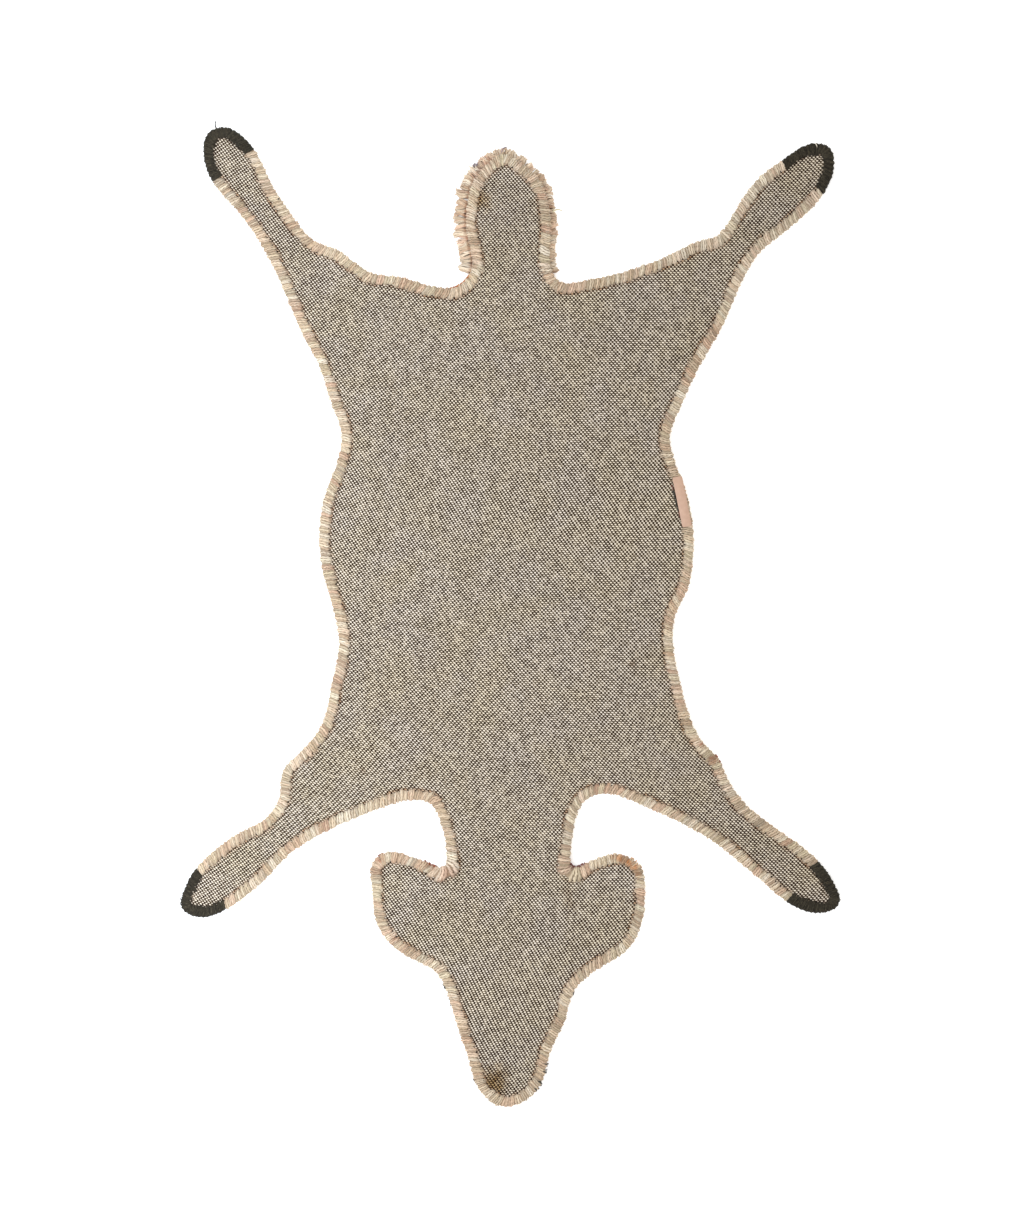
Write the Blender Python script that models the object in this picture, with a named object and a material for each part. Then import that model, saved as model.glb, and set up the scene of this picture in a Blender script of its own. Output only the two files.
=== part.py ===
"""Animal-shaped children's rug, lying flat with its pile on the floor and its woven backing up.

The rug is a cut-pile skin shape: a head with two ears and a long muzzle, four splayed legs that
end in dark hooves, and a short broad tail. Its pieces, from the floor up, are the pile (the body's
field, four hooves and a longer, lock-edged tail), the backing canvas, the wool whipping that binds
the cut edge all round, and a blank leather tab sewn over the whipping on one flank.

Units are millimetres in this file's sizes and metres in the scene. +X is the animal's side at the
right of the laid-out rug, +Y points to the tail, +Z is up. The origin is the middle of the
footprint, at the floor.
"""

import math

import bmesh
import bpy
import numpy as np
from mathutils import Vector
from mathutils.geometry import interpolate_bezier

MM = 0.001

# Heights, from the floor up. Pieces that touch are parted by the clearance.
PILE_HEIGHT = 10.0
CANVAS_THICKNESS = 2.0
WHIPPING_RISE = 1.6
TAB_THICKNESS = 1.2
CLEARANCE = 0.3

# The pile's edge, from the floor up. Columns: name, distance in from the outline, height.
PILE_PROFILE = (
    ("foot", 3.4, 0.0),
    ("swell", 1.8, 3.7),
    ("rim", 2.3, 8.2),
    ("step under the whipping", 7.6, 8.2),
    ("field", 8.4, PILE_HEIGHT),
)

# The whipping: yarn wound over the cut edge of the canvas. How far in from the outline it reaches,
# and where the slot begins that the canvas lies in.
WHIPPING_REACH = 9.3
WHIPPING_SLOT = 3.0
# Over the canvas. Columns: name, share of the reach in from the outline, height over the canvas.
WHIPPING_OVER = (
    ("toe", 1.0, CLEARANCE),
    ("crown", 0.6, WHIPPING_RISE),
    ("shoulder", 0.15, 0.7),
)
# Round the edge and under it. Columns: name, share of the reach, height under the canvas's top.
WHIPPING_UNDER = (
    ("edge", 0.0, 1.6),
    ("belly", 0.14, 3.8),
    ("lower toe", 0.72, 2.7),
)
# The reach wanders along the edge. Columns: wavelength, strength, phase in radians.
WHIPPING_WAVES = (
    (82.0, 0.42, 0.0),
    (46.0, 0.28, 1.0),
)
# Round a tight tip the reach is at most this share of the outline's radius.
TIGHTEST_FILL = 0.8
STRAIGHT_TURN = 0.05

# The tail's longer pile: locks that lie out past the whipping, one for each pitch of its edge.
LOCK_PITCH = 4.4
LOCK_HEIGHT = 7.6
LOCK_TIP_HEIGHT = 3.6
LOCK_TIP_SHARE = 0.62
LOCK_ROOT_INSET = 2.5
LOCK_SWAY = 0.25
# Columns: share of the way round the tail, from its right base, and how far the locks reach.
LOCK_REACHES = (
    (0.0, 7.5),
    (0.5, 6.5),
    (0.7, 11.0),
    (1.0, 11.0),
)
# Locks differ in length. Columns: turn from lock to lock in radians, strength, phase.
LOCK_WAVES = (
    (2.4, 0.8, 0.0),
    (1.1, 0.5, 0.5),
)
LOCK_SWAY_TURN = 1.7

# The leather tab, over the whipping on the right flank.
TAB_LENGTH = 51.0
TAB_WIDTH = 9.8
TAB_CORNER = 1.6
TAB_CENTRE = (170.5, 114.0)
TAB_TURN = 11.5
TAB_CORNER_STEPS = 3

# How closely stations follow the outline.
LONGEST_STEP = 17.0
SHARPEST_TURN = 13.0
TRIAL_STEPS = 12

# The cut shape. Each row is one landmark on both sides of the animal: its distance out from the
# spine line and its distance towards the tail from the rug's middle, left side first.
# Columns: landmark, left out, left up, right out, right up.
HEAD = (
    ("nose corner", 29, -475, 26, -474),
    ("muzzle side", 42, -439, 40, -434),
    ("muzzle root", 54, -404, 54, -404),
    ("jaw", 63, -374, 63, -375),
    ("cheek corner", 73, -356, 80, -357),
    ("cheek", 92, -345, 98, -346),
    ("ear foot", 114, -332, 119, -331),
    ("ear side low", 131, -311, 131, -307),
    ("ear side", 137, -274, 135, -277),
    ("ear corner", 136, -246, 130, -250),
    ("ear top", 120, -237, 108, -238),
    ("ear slope", 92, -244, 82, -245),
    ("ear root", 66, -251, 62, -251),
    ("nape low", 63, -234, 60, -234),
    ("nape", 68, -209, 63, -211),
    ("armpit", 78, -188, 71, -188),
)
FORELEG = (
    ("arm root", 98, -183, 91, -177),
    ("arm front", 140, -195, 140, -192),
    ("elbow front", 199, -222, 201, -223),
    ("shin front", 220, -236, 217, -235),
    ("wrist front", 248, -265, 252, -264),
    ("fore hoof front", 283, -292, 277, -285),
    ("fore hoof sole", 307, -301, 305, -296),
    ("fore hoof toe", 328, -292, 328, -288),
    ("fore hoof wall", 324, -270, 322, -265),
    ("fore hoof back", 314, -253, 307, -245),
    ("wrist back", 275, -220, 270, -216),
    ("elbow back", 244, -203, 235, -189),
    ("arm back", 231, -184, 219, -167),
    ("shoulder", 226, -154, 206, -141),
)
FLANK = (
    ("shoulder top", 212, -139, 190, -124),
    ("ribs low", 189, -112, 179, -101),
    ("ribs", 177, -66, 170, -68),
    ("waist front", 170, -29, 162, -24),
    ("waist", 175, 4, 165, 2),
    ("belly low", 186, 44, 177, 27),
    ("belly", 190, 81, 183, 81),
    ("belly top", 184, 122, 177, 123),
    ("loin", 172, 154, 164, 154),
    ("loin top", 168, 182, 159, 180),
    ("thigh low", 180, 218, 171, 212),
    ("thigh", 190, 250, 190, 253),
    ("thigh top", 207, 282, 212, 291),
)
HINDLEG = (
    ("hock outer", 229, 334, 233, 339),
    ("shin outer", 247, 370, 247, 362),
    ("pastern outer", 272, 406, 286, 395),
    ("hind hoof outer", 297, 435, 313, 423),
    ("hind hoof wall", 306, 463, 323, 448),
    ("hind hoof toe", 301, 483, 319, 468),
    ("hind hoof sole", 284, 488, 303, 472),
    ("hind hoof inner", 257, 467, 272, 455),
    ("pastern inner", 240, 433, 245, 433),
    ("shin inner", 220, 402, 223, 400),
    ("hock inner", 198, 376, 210, 381),
    ("rump side", 172, 365, 186, 373),
    ("rump", 140, 343, 150, 356),
    ("croup", 108, 338, 112, 343),
    ("tail head", 77, 329, 80, 336),
)
TAIL = (
    ("tail root", 55, 328, 50, 334),
    ("tail base", 38, 345, 40, 348),
    ("tail middle", 43, 391, 40, 391),
    ("tail shoulder", 37, 432, 32, 431),
    ("tail top", 22, 452, 13, 451),
)
NOSE_TIP = ("nose tip", -5, -490)
TAIL_TIP = ("tail tip", -7, 461)

# Each hoof's yarn starts and ends at a pair of landmarks, named in the order of the outline.
HOOVES = {
    "fore_right": ("fore hoof front right", "fore hoof back right"),
    "hind_right": ("hind hoof outer right", "hind hoof inner right"),
    "hind_left": ("hind hoof inner left", "hind hoof outer left"),
    "fore_left": ("fore hoof back left", "fore hoof front left"),
}
# The light stretches of whipping between them.
STRETCHES = {
    "front": ("fore hoof front left", "fore hoof front right"),
    "flank_right": ("fore hoof back right", "hind hoof outer right"),
    "rear": ("hind hoof inner right", "hind hoof inner left"),
    "flank_left": ("hind hoof outer left", "fore hoof back left"),
}
TAIL_ENDS = ("tail base right", "tail base left")

# Finishes: colour (linear RGB) and roughness.
FINISHES = {
    "canvas": ((0.37, 0.32, 0.25), 0.95),
    "cream_yarn": ((0.56, 0.45, 0.33), 0.92),
    "charcoal_yarn": ((0.045, 0.038, 0.033), 0.92),
    "leather": ((0.62, 0.36, 0.27), 0.6),
}

CANVAS_BOTTOM = PILE_HEIGHT + CLEARANCE
CANVAS_TOP = CANVAS_BOTTOM + CANVAS_THICKNESS


def landmarks():
    """The outline's landmarks as (name, point), anticlockwise from the nose."""
    rows = HEAD + FORELEG + FLANK + HINDLEG + TAIL
    right = [(name + " right", (out, up)) for name, _, _, out, up in rows]
    left = [(name + " left", (-out, up)) for name, out, up, _, _ in rows]
    nose = [(NOSE_TIP[0], NOSE_TIP[1:])]
    tail = [(TAIL_TIP[0], TAIL_TIP[1:])]
    return nose + right + tail + left[::-1]


def trace_outline():
    """The outline's stations (an N x 2 array) and the station number of each landmark."""
    names, places = zip(*landmarks(), strict=True)
    fixed = np.array(places, float)
    spans = np.roll(fixed, -1, axis=0) - fixed
    lengths = np.linalg.norm(spans, axis=1, keepdims=True)
    tangents = spans / lengths + np.roll(spans / lengths, 1, axis=0)
    tangents /= np.linalg.norm(tangents, axis=1, keepdims=True)
    stations = []
    numbers = {}
    for index, name in enumerate(names):
        following = (index + 1) % len(names)
        handle = lengths[index] / 3
        knots = [
            fixed[index],
            fixed[index] + tangents[index] * handle,
            fixed[following] - tangents[following] * handle,
            fixed[following],
        ]
        knots = [Vector(knot) for knot in knots]
        legs = np.diff(interpolate_bezier(*knots, TRIAL_STEPS + 1), axis=0)
        headings = np.unwrap(np.arctan2(legs[:, 1], legs[:, 0]))
        turn = math.degrees(np.abs(np.diff(headings)).sum())
        length = np.linalg.norm(legs, axis=1).sum()
        steps = max(1, round(length / LONGEST_STEP), math.ceil(turn / SHARPEST_TURN))
        numbers[name] = len(stations)
        stations += [tuple(point) for point in interpolate_bezier(*knots, steps + 1)[:-1]]
    stations = np.array(stations)
    middle = (stations.min(axis=0) + stations.max(axis=0)) / 2
    return stations, numbers, middle


def outward(stations):
    """Unit normals that point out of the closed outline, one for each station."""
    chord = np.roll(stations, -1, axis=0) - np.roll(stations, 1, axis=0)
    return -turned_left(chord) / np.linalg.norm(chord, axis=1, keepdims=True)


def inset(polygon, distance, seams=()):
    """The closed polygon moved in by a distance, but for its seams.

    A seam is the number of an edge that stays on its line, where another piece lies against it.
    """
    ahead = np.roll(polygon, -1, axis=0) - polygon
    ahead /= np.linalg.norm(ahead, axis=1, keepdims=True)
    behind = np.roll(ahead, 1, axis=0)
    bisector = turned_left(ahead + behind)
    moved = polygon + bisector * distance / (1 + (ahead * behind).sum(axis=1, keepdims=True))
    for seam in seams:
        following = (seam + 1) % len(polygon)
        across = turned_left(ahead[seam])
        for corner, rim in ((seam, behind[seam]), (following, ahead[following])):
            off_line = (moved[corner] - polygon[corner]) @ across
            moved[corner] -= rim * off_line / (rim @ across)
    return moved


def turned_left(vectors):
    """The plane vectors turned a quarter left."""
    return np.stack([-vectors[..., 1], vectors[..., 0]], axis=-1)


def stretch_numbers(numbers, ends, count):
    """The station numbers from one named landmark round to another, both included."""
    first, last = numbers[ends[0]], numbers[ends[1]]
    if last < first:
        last += count
    return [number % count for number in range(first, last + 1)]


def add_object(name, mesh_builder, finish, collection):
    """Makes an object from a filled bmesh and gives it its own material."""
    mesh = bpy.data.meshes.new(name)
    bmesh.ops.recalc_face_normals(mesh_builder, faces=mesh_builder.faces)
    mesh_builder.to_mesh(mesh)
    mesh_builder.free()
    made = bpy.data.objects.new(name, mesh)
    collection.objects.link(made)
    made.data.materials.append(new_material(name, finish))
    return made


def new_material(name, finish):
    """A plain material in one of the finishes."""
    colour, roughness = FINISHES[finish]
    material = bpy.data.materials.new(name)
    material.use_nodes = True
    shader = material.node_tree.nodes["Principled BSDF"]
    shader.inputs["Base Color"].default_value = (*colour, 1)
    shader.inputs["Roughness"].default_value = roughness
    material.diffuse_color = (*colour, 1)
    return material


def slab(name, rings, finish, collection):
    """A closed body lofted up through rings of (polygon, heights), with flat ends."""
    builder = bmesh.new()
    loops = []
    for polygon, heights in rings:
        heights = np.broadcast_to(heights, len(polygon))
        corners = zip(polygon, heights, strict=True)
        loops.append([builder.verts.new((x * MM, y * MM, z * MM)) for (x, y), z in corners])
    builder.faces.new(loops[0][::-1])
    builder.faces.new(loops[-1])
    for lower, upper in zip(loops[:-1], loops[1:], strict=True):
        for here in range(len(lower)):
            there = (here + 1) % len(lower)
            builder.faces.new((lower[here], lower[there], upper[there], upper[here]))
    return add_object(name, builder, finish, collection)


def flat_sheet(name, polygon, bottom, thickness, finish, collection):
    """A flat outline of even thickness, as a filled 2D curve."""
    curve = bpy.data.curves.new(name, "CURVE")
    curve.dimensions = "2D"
    curve.fill_mode = "BOTH"
    curve.extrude = thickness / 2 * MM
    spline = curve.splines.new("POLY")
    spline.points.add(len(polygon) - 1)
    for point, (x, y) in zip(spline.points, polygon, strict=True):
        point.co = (x * MM, y * MM, 0, 1)
    spline.use_cyclic_u = True
    made = bpy.data.objects.new(name, curve)
    made.location.z = (bottom + thickness / 2) * MM
    collection.objects.link(made)
    curve.materials.append(new_material(name, finish))
    return made


def waves(angle_of, table):
    """A sum of sine waves, one for each (measure, strength, phase) row of the table."""
    return sum(strength * np.sin(angle_of(measure) + phase) for measure, strength, phase in table)


def whipping_reaches(stations):
    """How far in the whipping runs at each station: a little uneven, and less round a tight tip."""
    legs = np.linalg.norm(np.roll(stations, -1, axis=0) - stations, axis=1)
    along = np.cumsum(legs) - legs
    wander = waves(lambda wavelength: along * math.tau / wavelength, WHIPPING_WAVES)
    ahead = np.roll(stations, -2, axis=0) - stations
    behind = stations - np.roll(stations, 2, axis=0)
    cross = (turned_left(behind) * ahead).sum(axis=1)
    turn = np.arctan2(cross, (behind * ahead).sum(axis=1))
    span = (np.linalg.norm(ahead, axis=1) + np.linalg.norm(behind, axis=1)) / 2
    tightest = TIGHTEST_FILL * span / np.maximum(turn, STRAIGHT_TURN)
    return np.minimum(WHIPPING_REACH + wander, tightest)


def whipping_section(reach):
    """The wound yarn's section as (distance in from the outline, height), round the canvas."""
    over = [(share * reach, CANVAS_TOP + height) for _, share, height in WHIPPING_OVER]
    under = [(share * reach, CANVAS_TOP - height) for _, share, height in WHIPPING_UNDER]
    slot = [
        (WHIPPING_SLOT, CANVAS_BOTTOM - CLEARANCE),
        (WHIPPING_SLOT, CANVAS_TOP + CLEARANCE),
    ]
    return over + under + slot


def whipping(name, stations, reaches, numbers, finish, collection):
    """One stretch of whipping: the section carried along its stations, closed at both ends."""
    normals = outward(stations)
    builder = bmesh.new()
    rings = []
    for place, number in enumerate(numbers):
        out = normals[number]
        tangent = np.array([-out[1], out[0]])
        back_off = (place == 0) - (place == len(numbers) - 1)
        foot = stations[number] + tangent * back_off * CLEARANCE / 2
        ring = []
        for distance, height in whipping_section(reaches[number]):
            x, y = foot - out * distance
            ring.append(builder.verts.new((x * MM, y * MM, height * MM)))
        rings.append(ring)
    builder.faces.new(rings[0])
    builder.faces.new(rings[-1][::-1])
    for first, second in zip(rings[:-1], rings[1:], strict=True):
        for here in range(len(first)):
            there = (here + 1) % len(first)
            builder.faces.new((first[here], second[here], second[there], first[there]))
    return add_object(name, builder, finish, collection)


def pile_rings(polygon, seams):
    """The pile's rings from the floor up, each with its height."""
    return [(inset(polygon, distance, seams), height) for _, distance, height in PILE_PROFILE]


def cut_back(polygon):
    """Moves the straight closing edge, from the last point to the first, in by the clearance."""
    moved = polygon.copy()
    chord = polygon[0] - polygon[-1]
    inwards = turned_left(chord / np.linalg.norm(chord)) * CLEARANCE
    moved[0] += inwards
    moved[-1] += inwards
    return moved


def tail_pile(stations, run, collection):
    """The tail's long pile: a slab whose rim is cut into locks that lie out past the edge."""
    profile = {name: (distance, height) for name, distance, height in PILE_PROFILE}
    step_distance, step_height = profile["step under the whipping"]
    field_distance, field_height = profile["field"]
    path = stations[run]
    normals = outward(stations)[run]
    along = np.concatenate([[0], np.cumsum(np.linalg.norm(np.diff(path, axis=0), axis=1))])
    locks = round(along[-1] / LOCK_PITCH)
    pitch = along[-1] / locks
    base = cut_back(path)[[0, -1]]

    def place(distance, out):
        foot = np.array([np.interp(distance, along, path[:, axis]) for axis in (0, 1)])
        normal = np.array([np.interp(distance, along, normals[:, axis]) for axis in (0, 1)])
        return foot + normal / np.linalg.norm(normal) * out

    rim = []
    field = []
    for lock in range(locks):
        start = lock * pitch
        tip = start + pitch * (0.5 + LOCK_SWAY * math.sin(lock * LOCK_SWAY_TURN))
        half = pitch * LOCK_TIP_SHARE / 2
        reach = np.interp(tip / along[-1], *zip(*LOCK_REACHES, strict=True))
        reach += waves(lambda turn, lock=lock: turn * lock, LOCK_WAVES)
        rim += [
            (*place(start, -LOCK_ROOT_INSET), LOCK_HEIGHT),
            (*place(tip - half, reach), LOCK_TIP_HEIGHT),
            (*place(tip + half, reach), LOCK_TIP_HEIGHT),
        ]
        field += [place(start + pitch * share / 3, -step_distance) for share in range(3)]
    rim.append((*place(along[-1], -LOCK_ROOT_INSET), LOCK_HEIGHT))
    field.append(place(along[-1], -step_distance))
    rim = np.array(rim)
    field = np.array(field)
    chord = (base[0] - base[1]) / np.linalg.norm(base[0] - base[1])
    for polygon in (rim[:, :2], field):
        for end in (0, -1):
            polygon[end] = base[end] + chord * ((polygon[end] - base[end]) @ chord)
    crown = inset(field, field_distance - step_distance, [len(field) - 1])
    rings = (
        (rim[:, :2], 0.0),
        (rim[:, :2], rim[:, 2]),
        (field, step_height),
        (crown, field_height),
    )
    return slab("pile_tail", rings, "cream_yarn", collection)


def tab_outline():
    """The tab's rounded rectangle, turned to lie along the flank."""
    corners = []
    for quarter, (side, end) in enumerate(((1, 1), (-1, 1), (-1, -1), (1, -1))):
        centre_x = side * (TAB_WIDTH / 2 - TAB_CORNER)
        centre_y = end * (TAB_LENGTH / 2 - TAB_CORNER)
        for step in range(TAB_CORNER_STEPS + 1):
            angle = math.radians(90 * (quarter + step / TAB_CORNER_STEPS))
            x = centre_x + TAB_CORNER * math.cos(angle)
            y = centre_y + TAB_CORNER * math.sin(angle)
            corners.append((x, y))
    turn = math.radians(TAB_TURN)
    x, y = np.array(corners).T
    turned_x = x * math.cos(turn) - y * math.sin(turn)
    turned_y = x * math.sin(turn) + y * math.cos(turn)
    return np.stack([turned_x, turned_y], axis=1)


def build():
    """Makes the rug's pieces in an empty scene."""
    for old in list(bpy.data.objects):
        bpy.data.objects.remove(old)
    collection = bpy.data.collections.new("animal_rug")
    bpy.context.scene.collection.children.link(collection)

    stations, numbers, middle = trace_outline()
    stations = stations - middle
    count = len(stations)
    reaches = whipping_reaches(stations)

    hoof_runs = {name: stretch_numbers(numbers, ends, count) for name, ends in HOOVES.items()}
    tail_run = stretch_numbers(numbers, TAIL_ENDS, count)
    runs = [*hoof_runs.values(), tail_run]
    left_out = {number for run in runs for number in run[1:-1]}
    kept = [number for number in range(count) if number not in left_out]
    seams = [kept.index(run[0]) for run in runs]
    slab("pile_body", pile_rings(stations[kept], seams), "cream_yarn", collection)
    for name, run in hoof_runs.items():
        hoof = cut_back(stations[run])
        rings = pile_rings(hoof, [len(hoof) - 1])
        slab("pile_hoof_" + name, rings, "charcoal_yarn", collection)
    tail_pile(stations, tail_run, collection)

    edge = inset(stations, WHIPPING_SLOT + CLEARANCE)
    flat_sheet("canvas", edge, CANVAS_BOTTOM, CANVAS_THICKNESS, "canvas", collection)

    for name, ends in STRETCHES.items():
        run = stretch_numbers(numbers, ends, count)
        whipping("whipping_" + name, stations, reaches, run, "cream_yarn", collection)
    for name, run in hoof_runs.items():
        whipping("whipping_hoof_" + name, stations, reaches, run, "charcoal_yarn", collection)

    tab = tab_outline() + np.array(TAB_CENTRE) - middle
    tab_bottom = CANVAS_TOP + WHIPPING_RISE + CLEARANCE
    flat_sheet("tab", tab, tab_bottom, TAB_THICKNESS, "leather", collection)


build()
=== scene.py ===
import math

import bpy
import numpy as np
from mathutils.kdtree import KDTree
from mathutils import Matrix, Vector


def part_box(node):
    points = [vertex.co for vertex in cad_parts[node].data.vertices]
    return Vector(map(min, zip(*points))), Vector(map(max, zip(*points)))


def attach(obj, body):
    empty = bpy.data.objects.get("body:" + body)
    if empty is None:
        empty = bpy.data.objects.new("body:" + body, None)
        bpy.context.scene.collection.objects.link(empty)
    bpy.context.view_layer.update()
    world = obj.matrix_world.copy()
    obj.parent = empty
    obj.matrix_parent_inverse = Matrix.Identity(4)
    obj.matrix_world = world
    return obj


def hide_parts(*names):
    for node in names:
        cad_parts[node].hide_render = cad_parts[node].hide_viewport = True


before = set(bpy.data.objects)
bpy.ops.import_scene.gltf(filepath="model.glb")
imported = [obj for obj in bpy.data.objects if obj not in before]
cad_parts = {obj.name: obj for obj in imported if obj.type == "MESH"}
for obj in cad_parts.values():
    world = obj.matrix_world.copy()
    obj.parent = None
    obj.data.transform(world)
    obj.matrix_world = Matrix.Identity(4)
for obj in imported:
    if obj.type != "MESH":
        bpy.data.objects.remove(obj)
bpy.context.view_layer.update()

rng = np.random.default_rng(41)
metre = 0.001  # everything below is in millimetres until it becomes a mesh


def linear(code):  # every colour is written as an sRGB hex code
    parts = [int(code[at:at + 2], 16) / 255 for at in (1, 3, 5)]
    return tuple(c / 12.92 if c <= 0.04045 else ((c + 0.055) / 1.055) ** 2.4 for c in parts)


def addNode(tree, kind, sockets=None, **settings):  # a link comes from a socket, or a node's first one
    node = tree.nodes.new("ShaderNode" + kind)
    for name, value in settings.items():
        setattr(node, name, value)
    for name, value in (sockets or {}).items():
        if isinstance(value, bpy.types.Node):
            value = value.outputs[0]
        if isinstance(value, bpy.types.NodeSocket):
            tree.links.new(value, node.inputs[name])
        else:
            node.inputs[name].default_value = value
    return node


def perMetre(size):  # a noise's scale, in whole steps to the metre, from its size in mm
    return round(1000 / size)


def newMaterial(name):
    material = bpy.data.materials.new(name)
    material.use_nodes = True
    return material, material.node_tree, material.node_tree.nodes["Principled BSDF"]


# a mesh object from arrays: points in mm, and faces as rows of corner numbers
def newPiece(name, points, faceRows, material, colours=None, vectors=None, uv=None):
    mesh = bpy.data.meshes.new(name)
    points = np.asarray(points, np.float32) * metre
    mesh.vertices.add(len(points))
    mesh.vertices.foreach_set("co", points.ravel())
    totals = np.concatenate([np.full(len(rows), rows.shape[1]) for rows in faceRows])
    corners = np.concatenate([rows.ravel() for rows in faceRows]).astype(np.int32)
    mesh.loops.add(len(corners))
    mesh.loops.foreach_set("vertex_index", corners)
    mesh.polygons.add(len(totals))
    starts = np.concatenate([[0], np.cumsum(totals)[:-1]]).astype(np.int32)
    mesh.polygons.foreach_set("loop_start", starts)
    mesh.polygons.foreach_set("loop_total", totals.astype(np.int32))
    mesh.update(calc_edges=True)
    mesh.polygons.foreach_set("use_smooth", np.ones(len(totals), bool))
    if colours is not None:
        # the colour attribute: each piece's dye, with any painted shade multiplied in
        layer = mesh.attributes.new("dye", "FLOAT_COLOR", "POINT")
        rgba = np.concatenate([colours, np.ones((len(colours), 1))], axis=1)
        layer.data.foreach_set("color", rgba.astype(np.float32).ravel())
    if vectors is not None:
        layer = mesh.attributes.new("yarnSpace", "FLOAT_VECTOR", "POINT")
        layer.data.foreach_set("vector", vectors.astype(np.float32).ravel())
    if uv is not None:
        layer = mesh.uv_layers.new(name="weave")
        layer.data.foreach_set("uv", uv[corners].astype(np.float32).ravel())
    mesh.materials.append(material)
    mesh.update()
    piece = bpy.data.objects.new(name, mesh)
    bpy.context.scene.collection.objects.link(piece)
    print(name, int((totals - 2).sum()), "triangles")
    return piece


def join(*parts):  # several (points, faceRows, colours, vectors) as one
    points, faceRows, colours, vectors = [], [], [], []
    count = 0
    for part in parts:
        points.append(part[0])
        faceRows += [rows + count for rows in part[1]]
        colours.append(part[2])
        vectors.append(part[3])
        count += len(part[0])
    return np.concatenate(points), faceRows, np.concatenate(colours), np.concatenate(vectors)


def atHeight(flat, height):  # points of the plane, each at its height
    return np.concatenate([flat, np.broadcast_to(height, flat.shape[:-1])[..., None]], axis=-1)


def tubeFaces(count, rings, sides):
    number = np.arange(count * rings * sides).reshape(count, rings, sides)
    ahead = np.roll(number, -1, axis=2)
    quads = np.stack([number[:, :-1], ahead[:, :-1], ahead[:, 1:], number[:, 1:]], axis=3)
    return [quads.reshape(-1, 4), number[:, 0, ::-1], number[:, -1]]


def roundPaths(paths, side):  # two directions square to each path, and how far along it each ring lies
    forward = np.gradient(paths, axis=1)
    forward /= np.linalg.norm(forward, axis=2, keepdims=True) + 1e-9
    across = side[:, None, :] - (side[:, None, :] * forward).sum(2, keepdims=True) * forward
    across /= np.linalg.norm(across, axis=2, keepdims=True) + 1e-9
    legs = np.linalg.norm(np.diff(paths, axis=1), axis=2)
    along = np.concatenate([np.zeros((len(paths), 1)), np.cumsum(legs, axis=1)], axis=1)
    return across, np.cross(across, forward), along


# round strands along paths (strand, ring, xyz), each with a side direction, radii and a colour for each ring
def strands(paths, side, radii, colours, sides=5, twist=0.5, groove=0.0):
    count, rings = paths.shape[:2]
    across, up, along = roundPaths(paths, side)
    turn = (np.arange(sides) / sides + 0.25) * math.tau
    ringed = across[:, :, None, :] * np.cos(turn)[:, None] + up[:, :, None, :] * np.sin(turn)[:, None]
    points = paths[:, :, None, :] + ringed * radii[:, :, None, None]
    spun = turn + along[:, :, None] * twist
    offset = rng.uniform(0, 900, (count, 1, 1))
    space = np.stack([np.cos(spun) * radii[:, :, None] + offset,
                      np.sin(spun) * radii[:, :, None] + offset,
                      np.broadcast_to(along[:, :, None], spun.shape) + offset], axis=3)
    # painted shade: wound close, the sides of each strand lie in the groove beside the next, so their colour
    # is darkened and browned as if in shade
    dye = colours[:, :, None, :] * (1 - groove * np.cos(turn)[:, None] ** 2 * np.array([0.85, 1.0, 1.12]))
    return points.reshape(-1, 3), tubeFaces(count, rings, sides), dye.reshape(-1, 3), space.reshape(-1, 3)


def smoothNoise(where, wavelengths, seed):  # a wandering value along the edge, about -1 to 1
    phases = np.random.default_rng(seed).uniform(0, math.tau, len(wavelengths))
    waves = [np.sin(where * math.tau / length + phase) for length, phase in zip(wavelengths, phases)]
    return sum(waves) / math.sqrt(len(wavelengths))


def chained(edges):  # pairs of neighbours, strung into loops
    following = {}
    for here, there in edges:
        following.setdefault(here, []).append(there)
    loops = []
    while following:
        start = next(iter(following))
        loop, here = [start], start
        while True:
            there = following[here].pop()
            if not following[here]:
                del following[here]
            if there == start:
                break
            loop.append(there)
            here = there
        loops.append(loop)
    return loops


def faceRing(node, atTop):  # the rim of a node's flat top or bottom face
    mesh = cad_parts[node].data
    heights = [vertex.co.z for vertex in mesh.vertices]
    level = max(heights) if atTop else min(heights)
    following = {}
    for face in mesh.polygons:
        corners = [mesh.vertices[index].co for index in face.vertices]
        if any(abs(corner.z - level) > 1e-5 for corner in corners):
            continue
        spots = [(round(corner.x * 1e6), round(corner.y * 1e6)) for corner in corners]
        for here, there in zip(spots, spots[1:] + spots[:1]):
            following.setdefault(here, set()).add(there)
    # an inner edge is used both ways, so the rim is what is left
    rim = [(here, there) for here in following for there in following[here]
           if here not in following.get(there, ())]
    return np.array(chained(rim)[0]) / 1000


# the cut edge, read from the canvas and moved out to the outside of the whipping
edgeShape = {
    "canvasIn": 3.3,  # the canvas ends this far inside the whipping's outside
    "step": 0.7,
    "corner": 9.0,  # how far each way the edge's curvature is looked at
}


def turnedLeft(vectors):
    return np.stack([-vectors[..., 1], vectors[..., 0]], axis=-1)


def movedOut(ring, distance):
    ahead = np.roll(ring, -1, axis=0) - ring
    ahead /= np.linalg.norm(ahead, axis=1, keepdims=True)
    behind = np.roll(ahead, 1, axis=0)
    bisector = turnedLeft(ahead + behind)
    return ring - bisector * distance / np.maximum(1 + (ahead * behind).sum(axis=1, keepdims=True), 0.6)


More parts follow.
